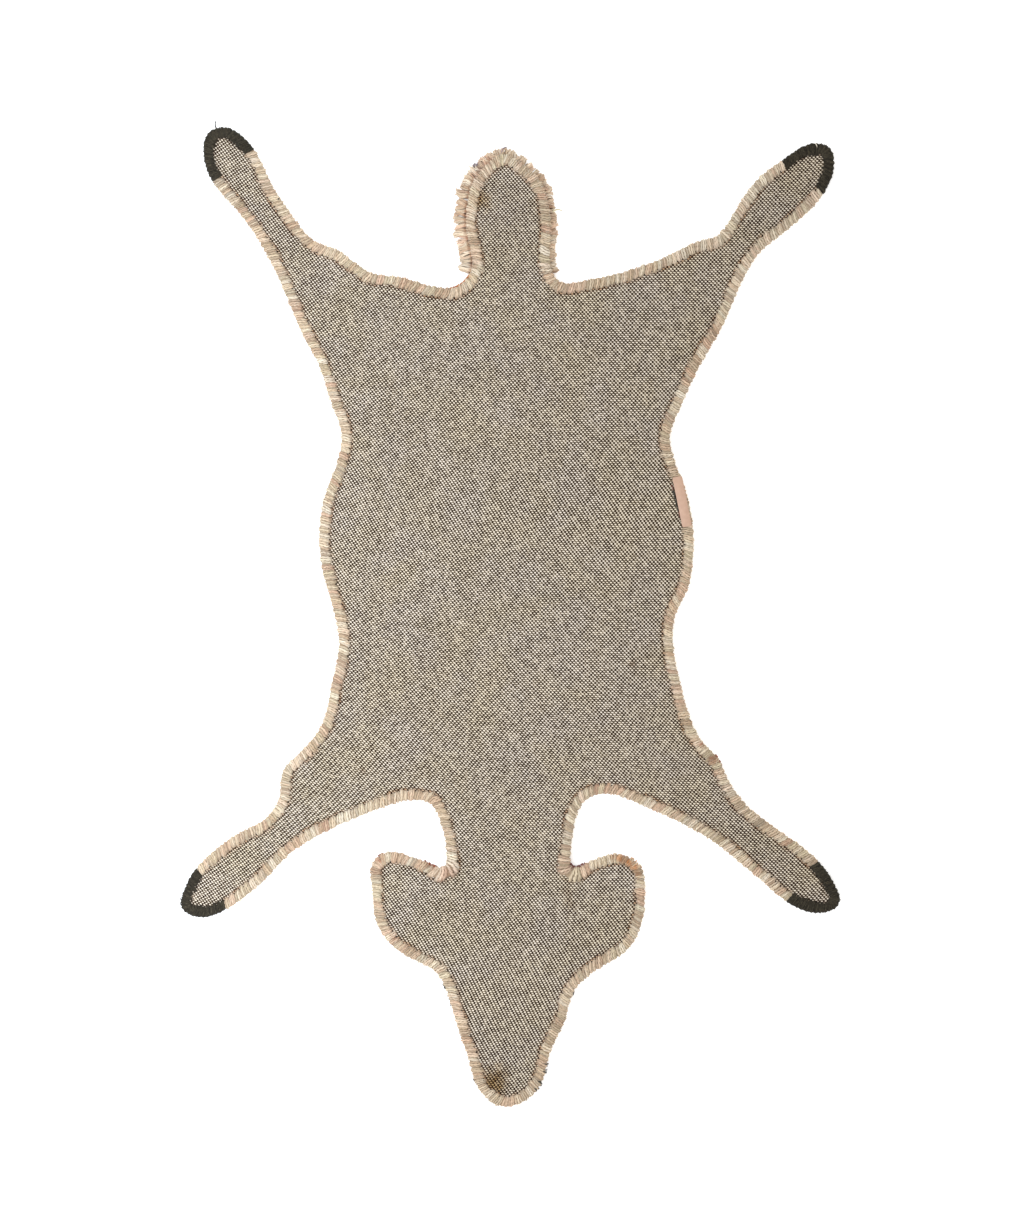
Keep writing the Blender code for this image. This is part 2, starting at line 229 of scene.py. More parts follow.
def smoothed(ring, step):  # a cubic through the ring's points, in even steps
    legs = np.linalg.norm(np.roll(ring, -1, axis=0) - ring, axis=1)
    rates = (np.roll(ring, -1, axis=0) - ring) / legs[:, None]
    before = np.roll(legs, 1)[:, None]
    tangents = (rates * before + np.roll(rates, 1, axis=0) * legs[:, None]) / (legs[:, None] + before)
    fine = []
    for index, leg in enumerate(legs):
        following = (index + 1) % len(ring)
        t = np.linspace(0, 1, 9)[:-1, None]
        fine.append(ring[index] * (2 * t**3 - 3 * t**2 + 1) + tangents[index] * leg * (t**3 - 2 * t**2 + t)
                    + ring[following] * (3 * t**2 - 2 * t**3) + tangents[following] * leg * (t**3 - t**2))
    fine = np.concatenate(fine)
    fine = np.concatenate([fine, fine[:1]])
    along = np.concatenate([[0], np.cumsum(np.linalg.norm(np.diff(fine, axis=0), axis=1))])
    count = round(along[-1] / step)
    even = np.arange(count) * along[-1] / count
    return np.stack([np.interp(even, along, fine[:, axis]) for axis in (0, 1)], axis=1), along[-1]


innerRing = faceRing("canvas", True)
edge, edgeLength = smoothed(movedOut(innerRing, edgeShape["canvasIn"]), edgeShape["step"])
edgeStep = edgeLength / len(edge)
edgeAhead = np.roll(edge, -1, axis=0) - np.roll(edge, 1, axis=0)
edgeAhead /= np.linalg.norm(edgeAhead, axis=1, keepdims=True)
span = round(edgeShape["corner"] / edgeStep)
turnFrom, turnTo = np.roll(edgeAhead, span, axis=0), np.roll(edgeAhead, -span, axis=0)
edgeTurn = np.arctan2((turnedLeft(turnFrom) * turnTo).sum(1), (turnFrom * turnTo).sum(1))
edgeBend = edgeTurn / (2 * span * edgeStep)  # curvature per mm, positive where the rug bulges


def onEdge(along, values):  # any value of the edge at distances along it
    places = (np.asarray(along) % edgeLength) / edgeStep
    low = np.floor(places).astype(int)
    share = places - low
    if values.ndim == 2:
        share = share[..., None]
    return values[low % len(edge)] * (1 - share) + values[(low + 1) % len(edge)] * share


def fromEdge(along, inward):  # the point that lies so far in from the edge
    ahead = onEdge(along, edgeAhead)
    return onEdge(along, edge) + turnedLeft(ahead) * np.asarray(inward)[..., None]


def sideAt(along):  # the edge's own direction, which a strand across it is built from
    return atHeight(onEdge(along, edgeAhead), 0.0)


def nearestAlong(x, y):
    return np.argmin(np.hypot(edge[:, 0] - x, edge[:, 1] - y)) * edgeStep


def stretchesOf(prefix):  # where each node of that name lies along the edge, as (start, end)
    names = sorted(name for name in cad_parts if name.startswith(prefix))
    distances = []
    for name in names:
        spots = np.array([vertex.co[:2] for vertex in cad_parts[name].data.vertices]) * 1000
        spots = np.unique(spots.round(2), axis=0)
        gaps = edge[:, None, :] - spots[None, :, :]
        distances.append(np.sqrt((gaps**2).sum(2)).min(1))
    owner = np.argmin(distances, axis=0)
    found = {}
    for index, name in enumerate(names):
        mine = owner == index
        start = np.flatnonzero(mine & ~np.roll(mine, 1))[0]
        found[name] = (start * edgeStep, (start + mine.sum()) * edgeStep)
    return found


canvasLow, canvasHigh = (corner[2] * 1000 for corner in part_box("canvas"))
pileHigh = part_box("pile_body")[1][2] * 1000
whippingAt = stretchesOf("whipping_")
print("edge", round(edgeLength), "mm,", len(edge), "points;", whippingAt)


# wool yarn, spun loosely from dyed fibre: matt, with fibre streaks that wind round each strand
wool = {
    "cream": "#ede3d0", "sand": "#dccbb0", "tan": "#caae91", "peach": "#ddbaa0", "rose": "#cfa890",
    "straw": "#cfc3a0", "orange": "#c2834f", "rust": "#9a4f27", "maroon": "#652c24",
    "charcoal": "#37332a", "grey": "#544e3f", "fleck": "#81747a",
}
woolFinish = {
    "roughness": 0.95, "specular": 0.12, "sheen": 0.12, "sheenRoughness": 0.6,
    "streaksPerMm": 2.2,  # real wool has 40 fibres to a millimetre, which would blur into one tone
    "streakLength": 0.16, "streakDepth": 0.34, "bump": 0.5, "bumpHeight": 0.3,
}
wool = {name: np.array(linear(code)) for name, code in wool.items()}


def woolYarn(name, finish):
    material, tree, shader = newMaterial(name)
    dye = addNode(tree, "Attribute", attribute_name="dye")
    space = addNode(tree, "Attribute", attribute_name="yarnSpace")
    drawn = addNode(tree, "Mapping", {"Vector": space.outputs["Vector"],
                                      "Scale": (1, 1, finish["streakLength"])})
    streaks = addNode(tree, "TexNoise", {"Vector": drawn, "Scale": finish["streaksPerMm"],
                                         "Detail": 3.0, "Roughness": 0.6})
    depth = finish["streakDepth"]
    shade = addNode(tree, "MapRange", {"Value": streaks, "From Min": 0.3, "From Max": 0.7,
                                       "To Min": 1 - depth, "To Max": 1 + depth * 0.6})
    tinted = addNode(tree, "VectorMath", {0: dye, "Scale": shade}, operation="SCALE")
    relief = addNode(tree, "Bump", {"Height": streaks, "Strength": finish["bump"],
                                    "Distance": finish["bumpHeight"] * metre})
    tree.links.new(tinted.outputs["Vector"], shader.inputs["Base Color"])
    tree.links.new(relief.outputs["Normal"], shader.inputs["Normal"])
    shader.inputs["Roughness"].default_value = finish["roughness"]
    shader.inputs["Specular IOR Level"].default_value = finish["specular"]
    shader.inputs["Sheen Weight"].default_value = finish["sheen"]
    shader.inputs["Sheen Roughness"].default_value = finish["sheenRoughness"]
    return material


creamWool = woolYarn("creamWool", woolFinish)
charcoalWool = woolYarn("charcoalWool", {**woolFinish, "sheen": 0.04, "bump": 0.7})


# whipping: stitches of loose two-ply yarn over the cut edge, three turns of the yarn to a stitch
whippingLook = {
    "pitch": 5.8, "widths": (0.55, 1.5),  # mm from stitch to stitch, and how uneven they are
    "spread": 0.31,  # the outer yarns' place, as a share of the stitch
    "plyRadius": 0.66, "plyOffset": 0.42, "turn": 8.5,  # a turn of the plies takes 8.5 mm of yarn
    "sides": 5, "rings": 11,
    "reach": 9.4, "cornerReach": 4.2,  # mm in from the edge, and mm more at the ears' roots
    "tipFill": 0.8,  # share of a sharp tip's radius that the yarn may take
    "slant": 3.0,  # mm that a stitch's outer end lags behind its inner end
    # mm that a stitch's middle stands out, how ragged the rim is, mm that its outer yarns lie lower
    "bulge": 1.0, "ragged": 1.0, "drop": 0.35,
    # the groove setting darkens each ply's sides with painted shade; the uneven settings are random tone
    "groove": 0.42, "uneven": 0.06, "yarnUneven": 0.09, "stitchUneven": 0.11,  # shares of the lightness
    # hemShade: share of the light left on the hem's wool, as painted shade
    "hemShade": 0.42, "hemStep": 3.0,
}
hoofLook = {
    **whippingLook, "pitch": 4.8, "widths": (0.85, 1.2), "spread": 0.33, "plyRadius": 0.68, "plyOffset": 0.36,
    "turn": 4.0, "reach": 10.2, "slant": 2.6, "bulge": 0.75, "ragged": 0.45, "drop": 0.15,
    "groove": 0.4, "uneven": 0.09, "stitchUneven": 0.05,
}
# a yarn from its toe in the canvas, over the crown, round the edge and under it:
# share of the reach in, mm more in, mm over the canvas's top, share of the slant, spread of the yarns
yarnCourse = np.array([
    (1.00, 0.2, -0.7, 0.00, 0.55),
    (0.96, 0.0, 0.30, 0.04, 0.70),
    (0.82, 0.0, 0.88, 0.18, 0.95),
    (0.58, 0.0, 1.04, 0.45, 1.05),
    (0.33, 0.0, 0.88, 0.75, 1.00),
    (0.00, 0.45, 0.25, 0.95, 0.95),
    (0.00, -0.50, -1.50, 1.00, 0.92),
    (0.00, 0.60, -3.10, 1.00, 0.90),
    (0.00, 2.60, -3.00, 0.90, 0.80),
])


def evenCourse(course, look):  # the same course in even steps, its corners rounded
    inward = course[:, 0] * look["reach"] + course[:, 1]
    legs = np.hypot(np.diff(inward), np.diff(course[:, 2]))
    at = np.concatenate([[0], np.cumsum(legs)])
    even = np.linspace(0, at[-1], look["rings"])
    fine = np.stack([np.interp(even, at, column) for column in course.T], axis=1)
    fine[1:-1] = (fine[:-2] + 2 * fine[1:-1] + fine[2:]) / 4
    return fine


# where the wound edge lies further out (or in, as under the tab) than its usual line: x, y, radius, mm out
bulges = [
    (-190, 0, 110, 0.4), (205, 380, 60, 0.35), (-205, -230, 60, 0.3), (120, -262, 45, -1.15),
    (172, 112, 26, -1.5), (-310, -280, 40, -0.7), (200, -20, 70, -0.45), (-120, -262, 45, 0.15),
]


def bulgeAt(places):
    out = np.zeros(places.shape[:-1])
    for x, y, radius, amount in bulges:
        out += amount * np.exp(-(((places[..., 0] - x) ** 2 + (places[..., 1] - y) ** 2) / radius**2))
    return out


# places where the yarn's colour stands out: x, y, radius, colour, strength; the wide tan spots make
# whole stretches darker and browner, as at the muzzle, and the wide cream one makes one lighter
yarnSpots = [
    (103, -239.8, 3.5, "orange", 0.7), (110, -241.5, 4.0, "orange", 1.0), (117, -245, 4.5, "orange", 1.1),
    (124, -250, 4.5, "orange", 1.0), (128, -257.5, 4.0, "orange", 0.7), (62, -249, 3.5, "maroon", 0.8),
    (70, -248, 3.0, "maroon", 0.7), (-130, -242, 5, "rust", 0.6),
    (-79, -247, 6, "rust", 0.65), (-116, -318, 5, "rust", 0.5), (-60, -256, 8, "rose", 0.9),
    (-20, 456, 4.5, "rust", 0.55), (-30, 449, 3.5, "rust", 0.45), (-36, 442, 4.5, "rust", 0.5),
    (-37, 352, 5, "rust", 0.5), (-43, 341, 4, "orange", 0.6), (-43.5, 403, 4, "rust", 0.45),
    (35, 429, 5, "rust", 0.35), (39, 412, 4, "rust", 0.45), (10, 454, 4, "rust", 0.3),
    (196, 118, 6, "rose", 0.6), (133, -276, 7, "peach", 0.6), (0, -489, 9, "peach", 0.5),
    (203, -143, 5, "rust", 0.85), (192, -128, 3, "rust", 0.8), (187, 50, 6, "rose", 0.6),
    (0, -440, 95, "tan", 0.5), (-297, 436, 3, "maroon", 0.7), (-34, 454, 2.5, "fleck", 0.9),
    (-275, -245, 90, "tan", 0.2), (-270, 400, 90, "tan", 0.2), (-85, -200, 30, "tan", 0.6),
    (250, 390, 95, "cream", 0.5),
]


def reachAt(along, look):
    usual = look["reach"] + 0.5 * smoothNoise(along, (83, 47, 29), 5)
    bend = onEdge(along, edgeBend)
    usual = usual + look["cornerReach"] * np.clip(-bend * 12 - 0.35, 0, 1)  # it fans out at the ears' roots
    return np.where(bend > 0.02, np.minimum(usual, look["tipFill"] / np.maximum(bend, 0.02)), usual)


def creamTone(along, count):  # the yarn was dyed in runs of cream, sand, blush and straw
    tone = 0.5 + 0.16 * smoothNoise(along, (9, 23, 51, 130), 11) + rng.normal(0, 0.16, count)
    blush = 0.25 + 0.26 * smoothNoise(along, (11, 37, 93), 12) + rng.normal(0, 0.2, count)
    straw = 0.25 * smoothNoise(along, (14, 43, 120), 13) + rng.normal(0, 0.12, count)
    return np.clip(tone, 0, 1), np.where(straw > 0.1, 0.1 - straw, np.clip(blush, 0, 1))


def creamColours(tone, blush):  # a blush under zero is straw
    straw = np.clip(-blush, 0, 1)[..., None]
    tone, blush = tone[..., None], np.clip(blush, 0, 1)[..., None]
    plain = np.where(tone < 0.5, wool["cream"] * (1 - 2 * tone) + wool["sand"] * 2 * tone,
                     wool["sand"] * (2 - 2 * tone) + wool["tan"] * (2 * tone - 1))
    warm = blended("peach", "rose", tone)
    plain = plain * (1 - straw) + wool["straw"] * straw
    return plain * (1 - 0.75 * blush) + warm * 0.75 * blush


def blended(first, second, mix):
    return wool[first] * (1 - mix) + wool[second] * mix


def charcoalColours(shape, spread):
    return blended("charcoal", "grey", np.clip(rng.normal(0.3, spread, shape), 0, 1)[..., None])


def spotted(colours, places, spots):
    for x, y, radius, name, strength in spots:
        near = np.exp(-(((places[..., 0] - x) ** 2 + (places[..., 1] - y) ** 2) / radius**2) ** 2)
        near = np.minimum(near * strength * rng.uniform(0.35, 1, near.shape[:1] + (1,) * (near.ndim - 1)), 1)
        colours = colours * (1 - near[..., None]) + wool[name] * near[..., None]
    return colours


def plied(paths, side, radii, look):  # the two plies that wind round each yarn's line, and how each one lies
    across, up, along = roundPaths(paths, side)
    turn = rng.uniform(0, math.tau, (len(paths), 1)) + along / look["turn"] * math.tau
    sideways, rise = np.cos(turn)[..., None] * across, np.sin(turn)[..., None] * up
    offset = (sideways + rise) * radii[..., None] * look["plyOffset"] / look["plyRadius"]
    plies = np.stack([paths + offset, paths - offset], axis=1).reshape(-1, *paths.shape[1:])
    raised = np.stack([rise[..., 2], -rise[..., 2]], axis=1).reshape(-1, paths.shape[1])
    return plies, raised


def whippingStrands(start, end, look, dark):
    course = evenCourse(yarnCourse, look)[None, None]
    rings = course.shape[2]
    stitches = round((end - start) / look["pitch"])
    widths = rng.uniform(*look["widths"], stitches)
    widths *= (end - start) / widths.sum()
    centre = start + np.cumsum(widths) - widths / 2
    slant = look["slant"] * (1 + 0.45 * smoothNoise(centre, (61, 137, 310), 21))
    slant = slant + rng.normal(0, 0.5, stitches)
    reach = reachAt(centre, look) + rng.normal(0, 0.5, stitches)
    lift = rng.normal(0, 0.12, stitches)
    place = np.array([-1, 0, 1])
    offset = place * widths[:, None] * look["spread"] + rng.normal(0, 0.12, (stitches, 3))
    shape = (stitches, 3, rings)
    inward = course[..., 0] * reach[:, None, None] + course[..., 1]
    inward = inward + rng.normal(0, 0.35, (stitches, 3, 1)) * (course[..., 0] > 0.9)
    bulge = look["bulge"] * (1 - 0.6 * place**2) + bulgeAt(onEdge(centre, edge))[:, None]
    bulge = bulge + look["ragged"] * (rng.normal(0, 0.24, (stitches, 1)) + rng.normal(0, 0.08, (stitches, 3)))
    inward = inward - bulge[..., None] * (1 - np.clip(course[..., 0] * 2.5, 0, 1)) * (course[..., 2] > -2.9)
    crown = lift[:, None] - look["drop"] * place**2
    height = canvasHigh + course[..., 2] + crown[..., None] * (course[..., 2] > 0)
    height = np.broadcast_to(height + rng.normal(0, 0.05, shape), shape)
    along = (centre[:, None, None] + offset[..., None] * course[..., 4]
             - (course[..., 3] - 0.5) * slant[:, None, None])
    along = along + rng.normal(0, 0.08, shape)
    along = along - (course[..., 3] - 0.5) * rng.normal(0, 0.4, (stitches, 3, 1))
    along = np.clip(along, start - 0.5, end + 0.5)
    flat = fromEdge(along.reshape(-1), np.broadcast_to(inward, shape).reshape(-1)).reshape(*shape, 2)
    paths = atHeight(flat, height).reshape(-1, rings, 3)
    side = sideAt(np.repeat(centre, 3))
    thick = np.repeat((widths / look["pitch"]) ** 0.7, 3)[:, None] * rng.uniform(0.92, 1.08, (len(paths), 1))
    # where the edge turns inwards its stitches fan out, and the yarn fills the room
    fan = 1 - onEdge(centre, edgeBend)[:, None] * np.maximum(inward[:, 0], 0)
    fan = np.repeat(np.clip(fan, 0.85, 2.3), 3, axis=0)
    taper = np.interp(np.arange(rings), (0, 1, 2, rings - 2, rings - 1), (0.75, 0.95, 1.0, 1.0, 0.85))
    radii = look["plyRadius"] * thick * fan * taper
    plies, raised = plied(paths, side, radii, look)
    side, radii = np.repeat(side, 2, axis=0), np.repeat(radii, 2, axis=0)
    if dark:
        colours = charcoalColours((len(plies), rings), 0.3)
    else:
        tone, blush = creamTone(centre, stitches)
        tone = np.repeat(tone, 6) + rng.normal(0, 0.09, len(plies))
        blush = np.repeat(blush, 6) + rng.normal(0, 0.11, len(plies))
        drift = rng.normal(0, 0.12, (len(plies), 1)) * np.linspace(-1, 1, rings)
        colours = creamColours(np.clip(tone[:, None] + drift, 0, 1), np.clip(blush[:, None] + drift, -1, 1))
        colours = spotted(colours, plies[..., :2], yarnSpots)
    # painted light and shade over random tone: a ply is painted lightest where it crosses over its yarn,
    # and darker, as in shade, at its toe and on the outer yarns beside the next stitch
    shade = rng.normal(1, look["stitchUneven"], (stitches, 1)) * (1.07 - 0.24 * place**2)
    shade = shade * rng.normal(1, look["yarnUneven"], (stitches, 3))
    shade = np.repeat(shade.ravel(), 2) + rng.normal(0, look["uneven"], len(plies))
    shade = np.clip(shade, 0.55, 1.12)[:, None] * (0.94 + 0.1 * raised)
    shade = shade * np.interp(np.arange(rings), (0, 1, 2, 4), (0.5, 0.8, 0.96, 1.0))
    shade = shade[..., None] ** np.array([0.92, 1.0, 1.06])  # darker yarn looks yellower too
    return strands(plies, side, radii, colours * shade, look["sides"], groove=look["groove"])


# the turned-over hem under the yarn, its colour darkened with painted shade, so what shows between
# two stitches is shaded wool:
# share of the reach in, mm more in, mm over the canvas's top
hemCourse = np.array([
    (1.0, -1.2, -0.30), (0.75, 0.0, 0.45), (0.35, 0.0, 0.50), (0.0, 0.9, 0.05), (0.0, -0.25, -0.90),
    (0.0, -0.10, -2.20), (0.0, 1.30, -3.40), (0.0, 3.20, -2.60),
])


def hem(start, end, look, dark):
    count = round((end - start) / look["hemStep"])
    along = np.linspace(start, end, count + 1)
    sides = len(hemCourse)
    inward = hemCourse[:, 0] * (reachAt(along, look)[:, None] - 0.3) + hemCourse[:, 1]
    inward = inward - bulgeAt(onEdge(along, edge))[:, None] * (hemCourse[:, 0] == 0)
    flat = fromEdge(np.repeat(along, sides), inward.ravel()).reshape(count + 1, sides, 2)
    points = atHeight(flat, canvasHigh + hemCourse[:, 2])
    quads, first, last = tubeFaces(1, count + 1, sides)
    faceRows = [np.roll(quads[:, ::-1], 1, axis=1), first[:, ::-1], last[:, ::-1]]
    # painted shade: the hem takes the yarn's colour, darkened by hemShade
    if dark:
        colours = np.broadcast_to(wool["charcoal"] * look["hemShade"], points.shape)
    else:
        tone, blush = creamTone(along, count + 1)
        colours = spotted(creamColours(tone[:, None], blush[:, None]), points[..., :2], yarnSpots)
        colours = colours * look["hemShade"] ** np.array([0.9, 1.0, 1.15])
    points = points.reshape(-1, 3)
    return points, faceRows, colours.reshape(-1, 3), points


# loose fibres that stand off the yarn
fuzzLook = {"perMm": 0.55, "radius": 0.09, "length": (1.6, 4.2), "sides": 3}


def fuzz(start, end, look, colourNames, low=-1.5, high=1.6, deepest=8.0):
    count = round((end - start) * look["perMm"])
    along = rng.uniform(start, end, count)
    inward = rng.uniform(0, 1, count) ** 1.6 * deepest
    foot = fromEdge(along, inward)
    ahead = onEdge(along, edgeAhead)
    rise = np.where(inward < 1, rng.uniform(low, 0.3, count), rng.uniform(0.9, high, count))
    base = atHeight(foot, canvasHigh + rise)
    lengths = rng.uniform(*look["length"], count)
    swing = rng.uniform(-1, 1, (count, 2))
    sideways = ahead * swing[:, :1] - turnedLeft(ahead) * (np.abs(swing[:, 1:]) + 0.1)
    sideways = atHeight(sideways, rng.uniform(-0.1, 0.25, count))
    sideways /= np.linalg.norm(sideways, axis=1, keepdims=True)
    curl = atHeight(rng.normal(0, 0.3, (count, 2)), rng.uniform(-0.3, 0.0, count))
    t = np.linspace(0, 1, 4)[None, :, None]
    lengths = lengths[:, None, None]
    paths = base[:, None] + sideways[:, None] * lengths * t + curl[:, None] * lengths * t**2
    colours = np.broadcast_to(blended(*colourNames, rng.uniform(0, 1, (count, 1, 1))), paths.shape)
    radii = look["radius"] * np.array([1.0, 0.9, 0.7, 0.35]) * np.ones((count, 1))
    return strands(paths, atHeight(turnedLeft(sideways[:, :2]), 0.0), radii, colours, look["sides"])


# yarn ends that stick out: x and y at the foot and at the tip, colour, thickness
looseEnds = [
    (-290.5, 486, -295, 496.5, "charcoal", 0.7), (-8, 465, -3.4, 471, "fleck", 0.75),
    (-7, 464, -4.4, 469, "tan", 0.7),
    (161.0, 132, 162.6, 126.5, "maroon", 0.6), (162.6, 126, 164.3, 120.5, "charcoal", 0.95),
    (164.4, 119.5, 166.1, 113, "charcoal", 0.9), (166.1, 112, 167.8, 106, "charcoal", 0.95),
    (168.0, 105, 169.3, 100, "maroon", 0.55), (-36, 450.5, -35, 454.5, "fleck", 1.0),
    (-34, 451.5, -32.4, 454, "fleck", 0.9), (43, 405.5, 52, 407.5, "straw", 0.75),
    (305, 474, 306, 467, "cream", 0.4), (-325.5, -283, -329.8, -281.5, "charcoal", 0.7),
    (-327, -287.5, -330.2, -286.5, "charcoal", 0.6), (34.5, -447, 37.4, -448.0, "charcoal", 0.6),
    (33, -454.5, 35.8, -455.8, "charcoal", 0.55), (28.5, -464, 31.6, -466.8, "charcoal", 0.85),
    (24.5, -471.5, 27.0, -474.4, "charcoal", 0.6), (-213.5, 393, -211.5, 396.5, "tan", 0.4),
    (-231.8, 417.2, -230.3, 419, "charcoal", 0.5),
]


def looseYarn(x0, y0, x1, y1, colour, thick):
    t = np.linspace(0, 1, 6)
    foot, tip = np.array((x0, y0)), np.array((x1, y1))
    bow = turnedLeft(tip - foot) * 0.18
    flat = foot + (tip - foot) * t[:, None] + bow * np.sin(t * math.pi)[:, None]
    along = np.array([nearestAlong(*place) for place in flat])
    rim = fromEdge(along, np.zeros(6))
    past = ((flat - rim) * (fromEdge(along, np.full(6, -1.0)) - rim)).sum(axis=1)
    height = canvasHigh + 0.6 + 0.5 * np.sin(t * math.pi)
    height = height - 0.75 * np.clip(past, 0, 12)  # past the edge it hangs
    paths = atHeight(flat, height)[None]
    side = np.array([[*turnedLeft(tip - foot), 0.0]])
    radii = thick * np.array([[1, 1, 1, 1, 0.95, 0.75]])
    return strands(paths, side, radii, np.broadcast_to(wool[colour], paths.shape))


def pieceName(node):
    first, *others = node.split("_")
    return first + "".join(word.capitalize() for word in others)


for node, (start, end) in whippingAt.items():
    dark = "hoof" in node
    look = hoofLook if dark else whippingLook
    parts = [whippingStrands(start, end, look, dark), hem(start, end, look, dark)]
    parts.append(fuzz(start, end, fuzzLook, ("charcoal", "grey") if dark else ("cream", "sand")))
    parts += [looseYarn(*row) for row in looseEnds
              if (nearestAlong(*row[:2]) - start) % edgeLength < end - start]
    points, faceRows, colours, vectors = join(*parts)
    yarn = charcoalWool if dark else creamWool
    piece = newPiece(pieceName(node), points, faceRows, yarn, colours, vectors)
    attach(piece, "root")
    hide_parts(node)


# canvas: cotton in a plain weave, thick cream weft lying over and under a thin dark warp, matt and uneven
canvasLook = {
    "warpPitch": 1.87, "weftPitch": 1.94,  # mm from thread to thread
    "crown": 0.26,  # mm that a crossing stands up or down
    "weftSkew": (0.05, -0.00035),  # slope of the weft, and how it changes across the rug
    "warpSlope": -0.03,
    "warpLeans": [(108, 45, -0.11), (-150, 85, 0.14), (-385, 85, -0.19)],  # place, width, slope more
    # how much each weft is painted lighter along its middle and darker between, as if lit round
    "weftRound": 0.5,
    "slubs": (0.21, 5.37), "ends": (7.13, 0.16),  # steps of the noise from thread to thread, each way
    "unevenness": (0.6, 0.5, 0.75),  # of the slubs, the ends and the single crossings
    "lightFrom": (0.2, 1.68),  # where their sum turns from the dark warp to the cream weft
    "cream": "#f3eadb", "creamShade": "#a4957f", "dark": "#30241a", "darkShade": "#51432f",
    "casts": ("#fff9ee", "#fdf9f8"),  # yellower and bluer patches
    # the rims made ragged are those of the stains and of the spots of painted shade
    "driftSize": 111, "castSize": 41.7, "raggedSize": 6.25,  # mm: slow tone, patches and stains' rims
    "fibreSize": 0.3846,  # mm, many times a cotton fibre, which would be too fine to show
    "roughness": 0.93, "specular": 0.1, "bump": 0.8, "bumpHeight": 0.3,
    # painted shade where the whipping's toe meets the canvas, with the needle's holes there: brown and dark
    "toeColour": "#b98c62", "hoofToe": "#6a4c34", "toeDepth": 0.95, "toeIn": 0.3, "toeWidth": 1.5,
}
# stains, and as the last two, wide spots of painted shade toward the tail and the snout: x, y, radius,
# colour, strength
stainsAndShade = [
    (123, -47, 6, "#8a6238", 0.5), (-16, -468, 17, "#bfa87e", 0.95), (-13, -457, 14, "#cdb78e", 0.6),
    (58, -276, 8, "#a08058", 0.35), (60, -288, 9, "#a08058", 0.25), (-30, 417, 12, "#d2bb92", 0.85),
    (-147, -153, 4, "#8a6238", 0.5),
    (-202, 296, 2.5, "#2b2622", 0.7), (40, -452, 10, "#a58c60", 0.3),
    (0, 395, 60, "#c4bcb0", 0.12), (0, -450, 55, "#c4bcb0", 0.12),
]


def canvasSheet(look):
    grid = np.arange(-520.0, 520.0)
    slope = np.full_like(grid, look["warpSlope"])
    for place, width, amount in look["warpLeans"]:
        slope += amount * np.exp(-(((grid - place) / width) ** 2))
    drift = np.cumsum(slope)
    drift -= np.interp(0, grid, drift)
    skew, change = look["weftSkew"]
    reach = 540  # mm of cloth each way from the middle, more than the rug takes
    warps, wefts = round(reach / look["warpPitch"] * 0.85), round(reach / look["weftPitch"])
    u, v = np.meshgrid(np.arange(-warps, warps), np.arange(-wefts, wefts), indexing="ij")
    x, y = u * look["warpPitch"], v * look["weftPitch"]
    for _ in range(25):  # each thread's place depends on the other's, so both settle by turns
        x = look["warpPitch"] * (u - np.interp(y, grid, drift))
        y = look["weftPitch"] * (v - skew * x - change / 2 * x**2)
    inside = insideRing(np.stack([x.ravel(), y.ravel()], 1), innerRing).reshape(x.shape)
    whole = inside[:-1, :-1] & inside[1:, :-1] & inside[1:, 1:] & inside[:-1, 1:]
    number = np.arange(x.size).reshape(x.shape)
    quads = np.stack([number[:-1, :-1], number[1:, :-1], number[1:, 1:], number[:-1, 1:]], axis=2)[whole]
    used, quads = np.unique(quads, return_inverse=True)
    quads = quads.reshape(-1, 4)
    weave = np.stack([u.ravel(), v.ravel()], 1)[used].astype(float)
    flat = np.stack([x.ravel(), y.ravel()], 1)[used]
    crown = look["crown"] * np.where((weave.sum(1) % 2) == 0, 1, -1)
    return flat, weave, crown, quads


def toeShade(flat, look):
    tree = KDTree(len(edge))
    for index, spot in enumerate(edge):
        tree.insert((*spot, 0), index)
    tree.balance()
    found = np.array([tree.find((*spot, 0))[1:] for spot in flat])
    along = found[:, 0] * edgeStep
    inside = found[:, 1] - reachAt(along, whippingLook) - look["toeIn"]
    near = np.exp(-((inside / look["toeWidth"]) ** 2))
    ragged = 0.6 + 0.4 * smoothNoise(along, (7, 13, 31, 90), 51)
    share = np.clip(near * ragged * look["toeDepth"], 0, 0.85)[:, None]
    hooves = [(along - start) % edgeLength < end - start
              for node, (start, end) in whippingAt.items() if "hoof" in node]
    dark = np.any(hooves, axis=0)[:, None]
    # painted shade, with the needle's holes: the canvas is darkened and browned along the whipping's toe
    return 1 - share * (1 - np.where(dark, linear(look["hoofToe"]), linear(look["toeColour"])))


def insideRing(points, ring):  # by counting crossings to the right of each point
    result = np.zeros(len(points), bool)
    for (x0, y0), (x1, y1) in zip(ring, np.roll(ring, -1, axis=0)):
        if y0 == y1:
            continue
        spans = (points[:, 1] >= min(y0, y1)) & (points[:, 1] < max(y0, y1))
        crossing = x0 + (points[spans, 1] - y0) * (x1 - x0) / (y1 - y0)
        result[spans] ^= points[spans, 0] < crossing
    return result


def rimEdges(faces):  # the edges that only one face has
    sides = faces.shape[1]
    edges = np.concatenate([faces[:, [k, (k + 1) % sides]] for k in range(sides)])
    most = faces.max() + 1
    forth, back = edges[:, 0] * most + edges[:, 1], edges[:, 1] * most + edges[:, 0]
    return edges[~np.isin(forth, back)].tolist()


